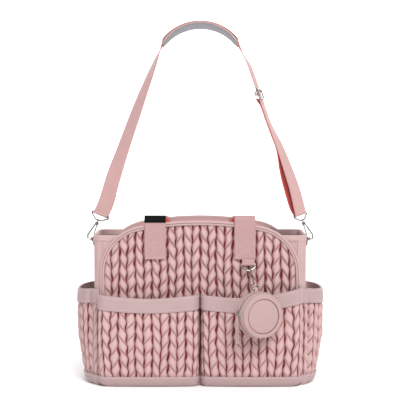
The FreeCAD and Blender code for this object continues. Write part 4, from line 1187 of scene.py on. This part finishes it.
def zip_pull():
    """The zip's cloth pull, doubled round a small ring that hangs from the slider."""
    hang = np.array([math.cos(ZIP_ANGLE), 0, math.sin(ZIP_ANGLE)]) * PULL_R
    length, ring_r = 53.0, 2.8
    drop = np.linspace(5.0, length, 24)
    leg = xyz((-1.5 + 0.5 * np.sin(drop / 9)) * ease((drop - 3) / 7), 0, -drop)
    turn = np.linspace(PI, 2 * PI, 9)[1:-1]
    bottom = xyz(1.5 * np.cos(turn), 0, -length + 1.5 * np.sin(turn))
    loop = np.concatenate([leg, bottom, leg[::-1] * [-1, 1, 1]]) + hang
    sweep("zip_pull_strap", *to_pouch_both(loop, np.tile([0, -1.0, 0], (len(loop), 1))),
          strap_profile(2.1, 1.5, 6), "zip_pull", *POUCH_SKIN, nodes=["pouch_zip_pull"])
    angles = np.linspace(0, 2 * PI, 24, endpoint=False)
    outs = xyz(0, np.sin(angles), np.cos(angles))
    wire = [(0.6 * math.cos(a), 0.6 * math.sin(a)) for a in np.arange(8) * PI / 4]
    sweep("zip_pull_ring", *to_pouch_both(outs * ring_r + hang - [0, 0, ring_r], outs), wire, "zip_pull",
          "zip_metal", CHROME, loop=True)


def pouch_tab():
    """The narrow loop of cloth sewn to the pouch's top, round the swivel's eye."""
    radius, foot = 3.4, POUCH_R - 1.6
    x, bar_y, bar_z = TAB_BAR
    turn = np.linspace(0, PI, 14)
    front = [(bar_y - radius, z) for z in np.linspace(foot, bar_z, 6)[:-1]]
    rear = [(bar_y + radius, z) for z in np.linspace(bar_z, foot, 6)[1:]]
    around = np.stack([bar_y - radius * np.cos(turn), bar_z + radius * np.sin(turn)], -1)
    y, z = np.concatenate([front, around, rear]).T
    points = xyz(x, y, z)
    normals = np.cross(unit(np.gradient(points, axis=0)), [1.0, 0, 0])
    spread = 1 + 0.7 * ease((bar_z - z) / (bar_z - foot))
    sweep("pouch_tab", *to_pouch_both(points, -normals), strap_profile(5.0, 1.0, 6), "pouch",
          "plain_fabric", FABRIC, scale=spread, nodes=["pouch_tab"])


def charm_tab():
    """The short webbing tab under the right handle's foot, round the charm ring's bar."""
    x, bar_y, bar_z = 87.0, -QUILT_Y - 3.2, 221.0
    radius = WIRE_R + 0.9
    low = [(bar_y + radius * math.sin(a), bar_z + radius * math.cos(a), math.sin(a), math.cos(a))
           for a in np.linspace(-0.35 * PI, -1.35 * PI, 14)]
    front = [(bar_y - radius * 0.75 + 0.8 * t, bar_z + 2 + 8 * t, -1.0, 0.0) for t in (1.0, 0.6, 0.25)]
    back = [(-QUILT_Y - 1.0, bar_z + t, 1.0, 0.0) for t in (1.5, 5.0, 9.0)]
    y, z, out_y, out_z = np.array(front + low + back).T
    points, normals = at_lengths(xyz(x, y, z), xyz(0, out_y, out_z), 0.9)
    sweep("charm_tab", points, unit(normals), strap_profile(TAB_W, 1.4), *TAPE, nodes=["charm_tab"])


# ---- hard pieces keep their CAD shape ----
METAL_NODES = ("left_d_ring", "right_d_ring", "left_claw", "right_claw", "left_gate", "right_gate",
               "left_strap_loop", "right_strap_loop", "strap_slider", "charm_d_ring", "charm_clasp",
               "charm_clasp_gate", "charm_swivel_eye", "magnetic_snaps", "pouch_zip_slider")


def dress_cad():
    """CAD nodes keep their mesh and get a better material."""
    for names, material in ((METAL_NODES, CHROME), (("base_board",), BOARD_GREY)):
        for name in names:
            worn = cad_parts[name].data.materials
            worn.clear()
            worn.append(material)


# ---- camera, light and floor ----
AMBIENT, KEY_STRENGTH, KEY_FROM = 0.55, 2.7, Vector((0.3, -1.0, 0.95))
CAMERA_AT, CAMERA_DIP, CAMERA_LENS = (0.0144, -2.785, 0.467), 3.07, 129.8
FLOOR_X, FLOOR_FRONT, FLOOR_REAR, BACKDROP_TOP = 9, -6, 5, 8


def link_object(name, data):
    made = bpy.data.objects.new(name, data)
    bpy.context.scene.collection.objects.link(made)
    return made


def camera():
    lens = bpy.data.cameras.new("camera")
    lens.lens, lens.sensor_width = CAMERA_LENS, 36.0
    eye = link_object("camera", lens)
    eye.location = CAMERA_AT
    eye.rotation_euler = (math.radians(90 - CAMERA_DIP), 0, 0)
    bpy.context.scene.camera = eye


def stage_sheet(name, corners, colour, glow=0.0):
    material, _, shader = new_material(f"pale_{name}", 0.9)
    shader.inputs["Base Color"].default_value = (colour, colour, colour, 1)
    shader.inputs["Emission Color"].default_value = (1, 1, 1, 1)
    shader.inputs["Emission Strength"].default_value = glow
    mesh = bpy.data.meshes.new(name)
    mesh.from_pydata(corners, [], [(0, 1, 2, 3)])
    mesh.materials.append(material)
    link_object(name, mesh)


def studio():
    """A white floor and backdrop, a broad light from the upper right front, and even light all round."""
    bpy.context.scene.view_settings.view_transform = "Standard"
    world = bpy.data.worlds.new("studio")
    bpy.context.scene.world = world
    world.use_nodes = True
    background = world.node_tree.nodes["Background"]
    background.inputs["Color"].default_value = (1, 1, 1, 1)
    background.inputs["Strength"].default_value = AMBIENT
    lamp = bpy.data.lights.new("key", "SUN")
    lamp.energy, lamp.angle = KEY_STRENGTH, math.radians(32)
    key = link_object("key", lamp)
    key.rotation_euler = KEY_FROM.to_track_quat("Z", "Y").to_euler()
    far_left, far_right = (-FLOOR_X, FLOOR_REAR, 0), (FLOOR_X, FLOOR_REAR, 0)
    stage_sheet("floor", [(-FLOOR_X, FLOOR_FRONT, 0), (FLOOR_X, FLOOR_FRONT, 0), far_right, far_left], 0.97)
    stage_sheet("backdrop", [far_left, far_right, (FLOOR_X, FLOOR_REAR, BACKDROP_TOP),
                             (-FLOOR_X, FLOOR_REAR, BACKDROP_TOP)], 0.9, glow=0.6)


camera()
studio()
dress_cad()
body_pieces()
pocket_pieces()
handle_pieces()
label()
strap_pieces()
side_tab(-1, ["d_ring_tabs"])
side_tab(1)
pouch_pieces()
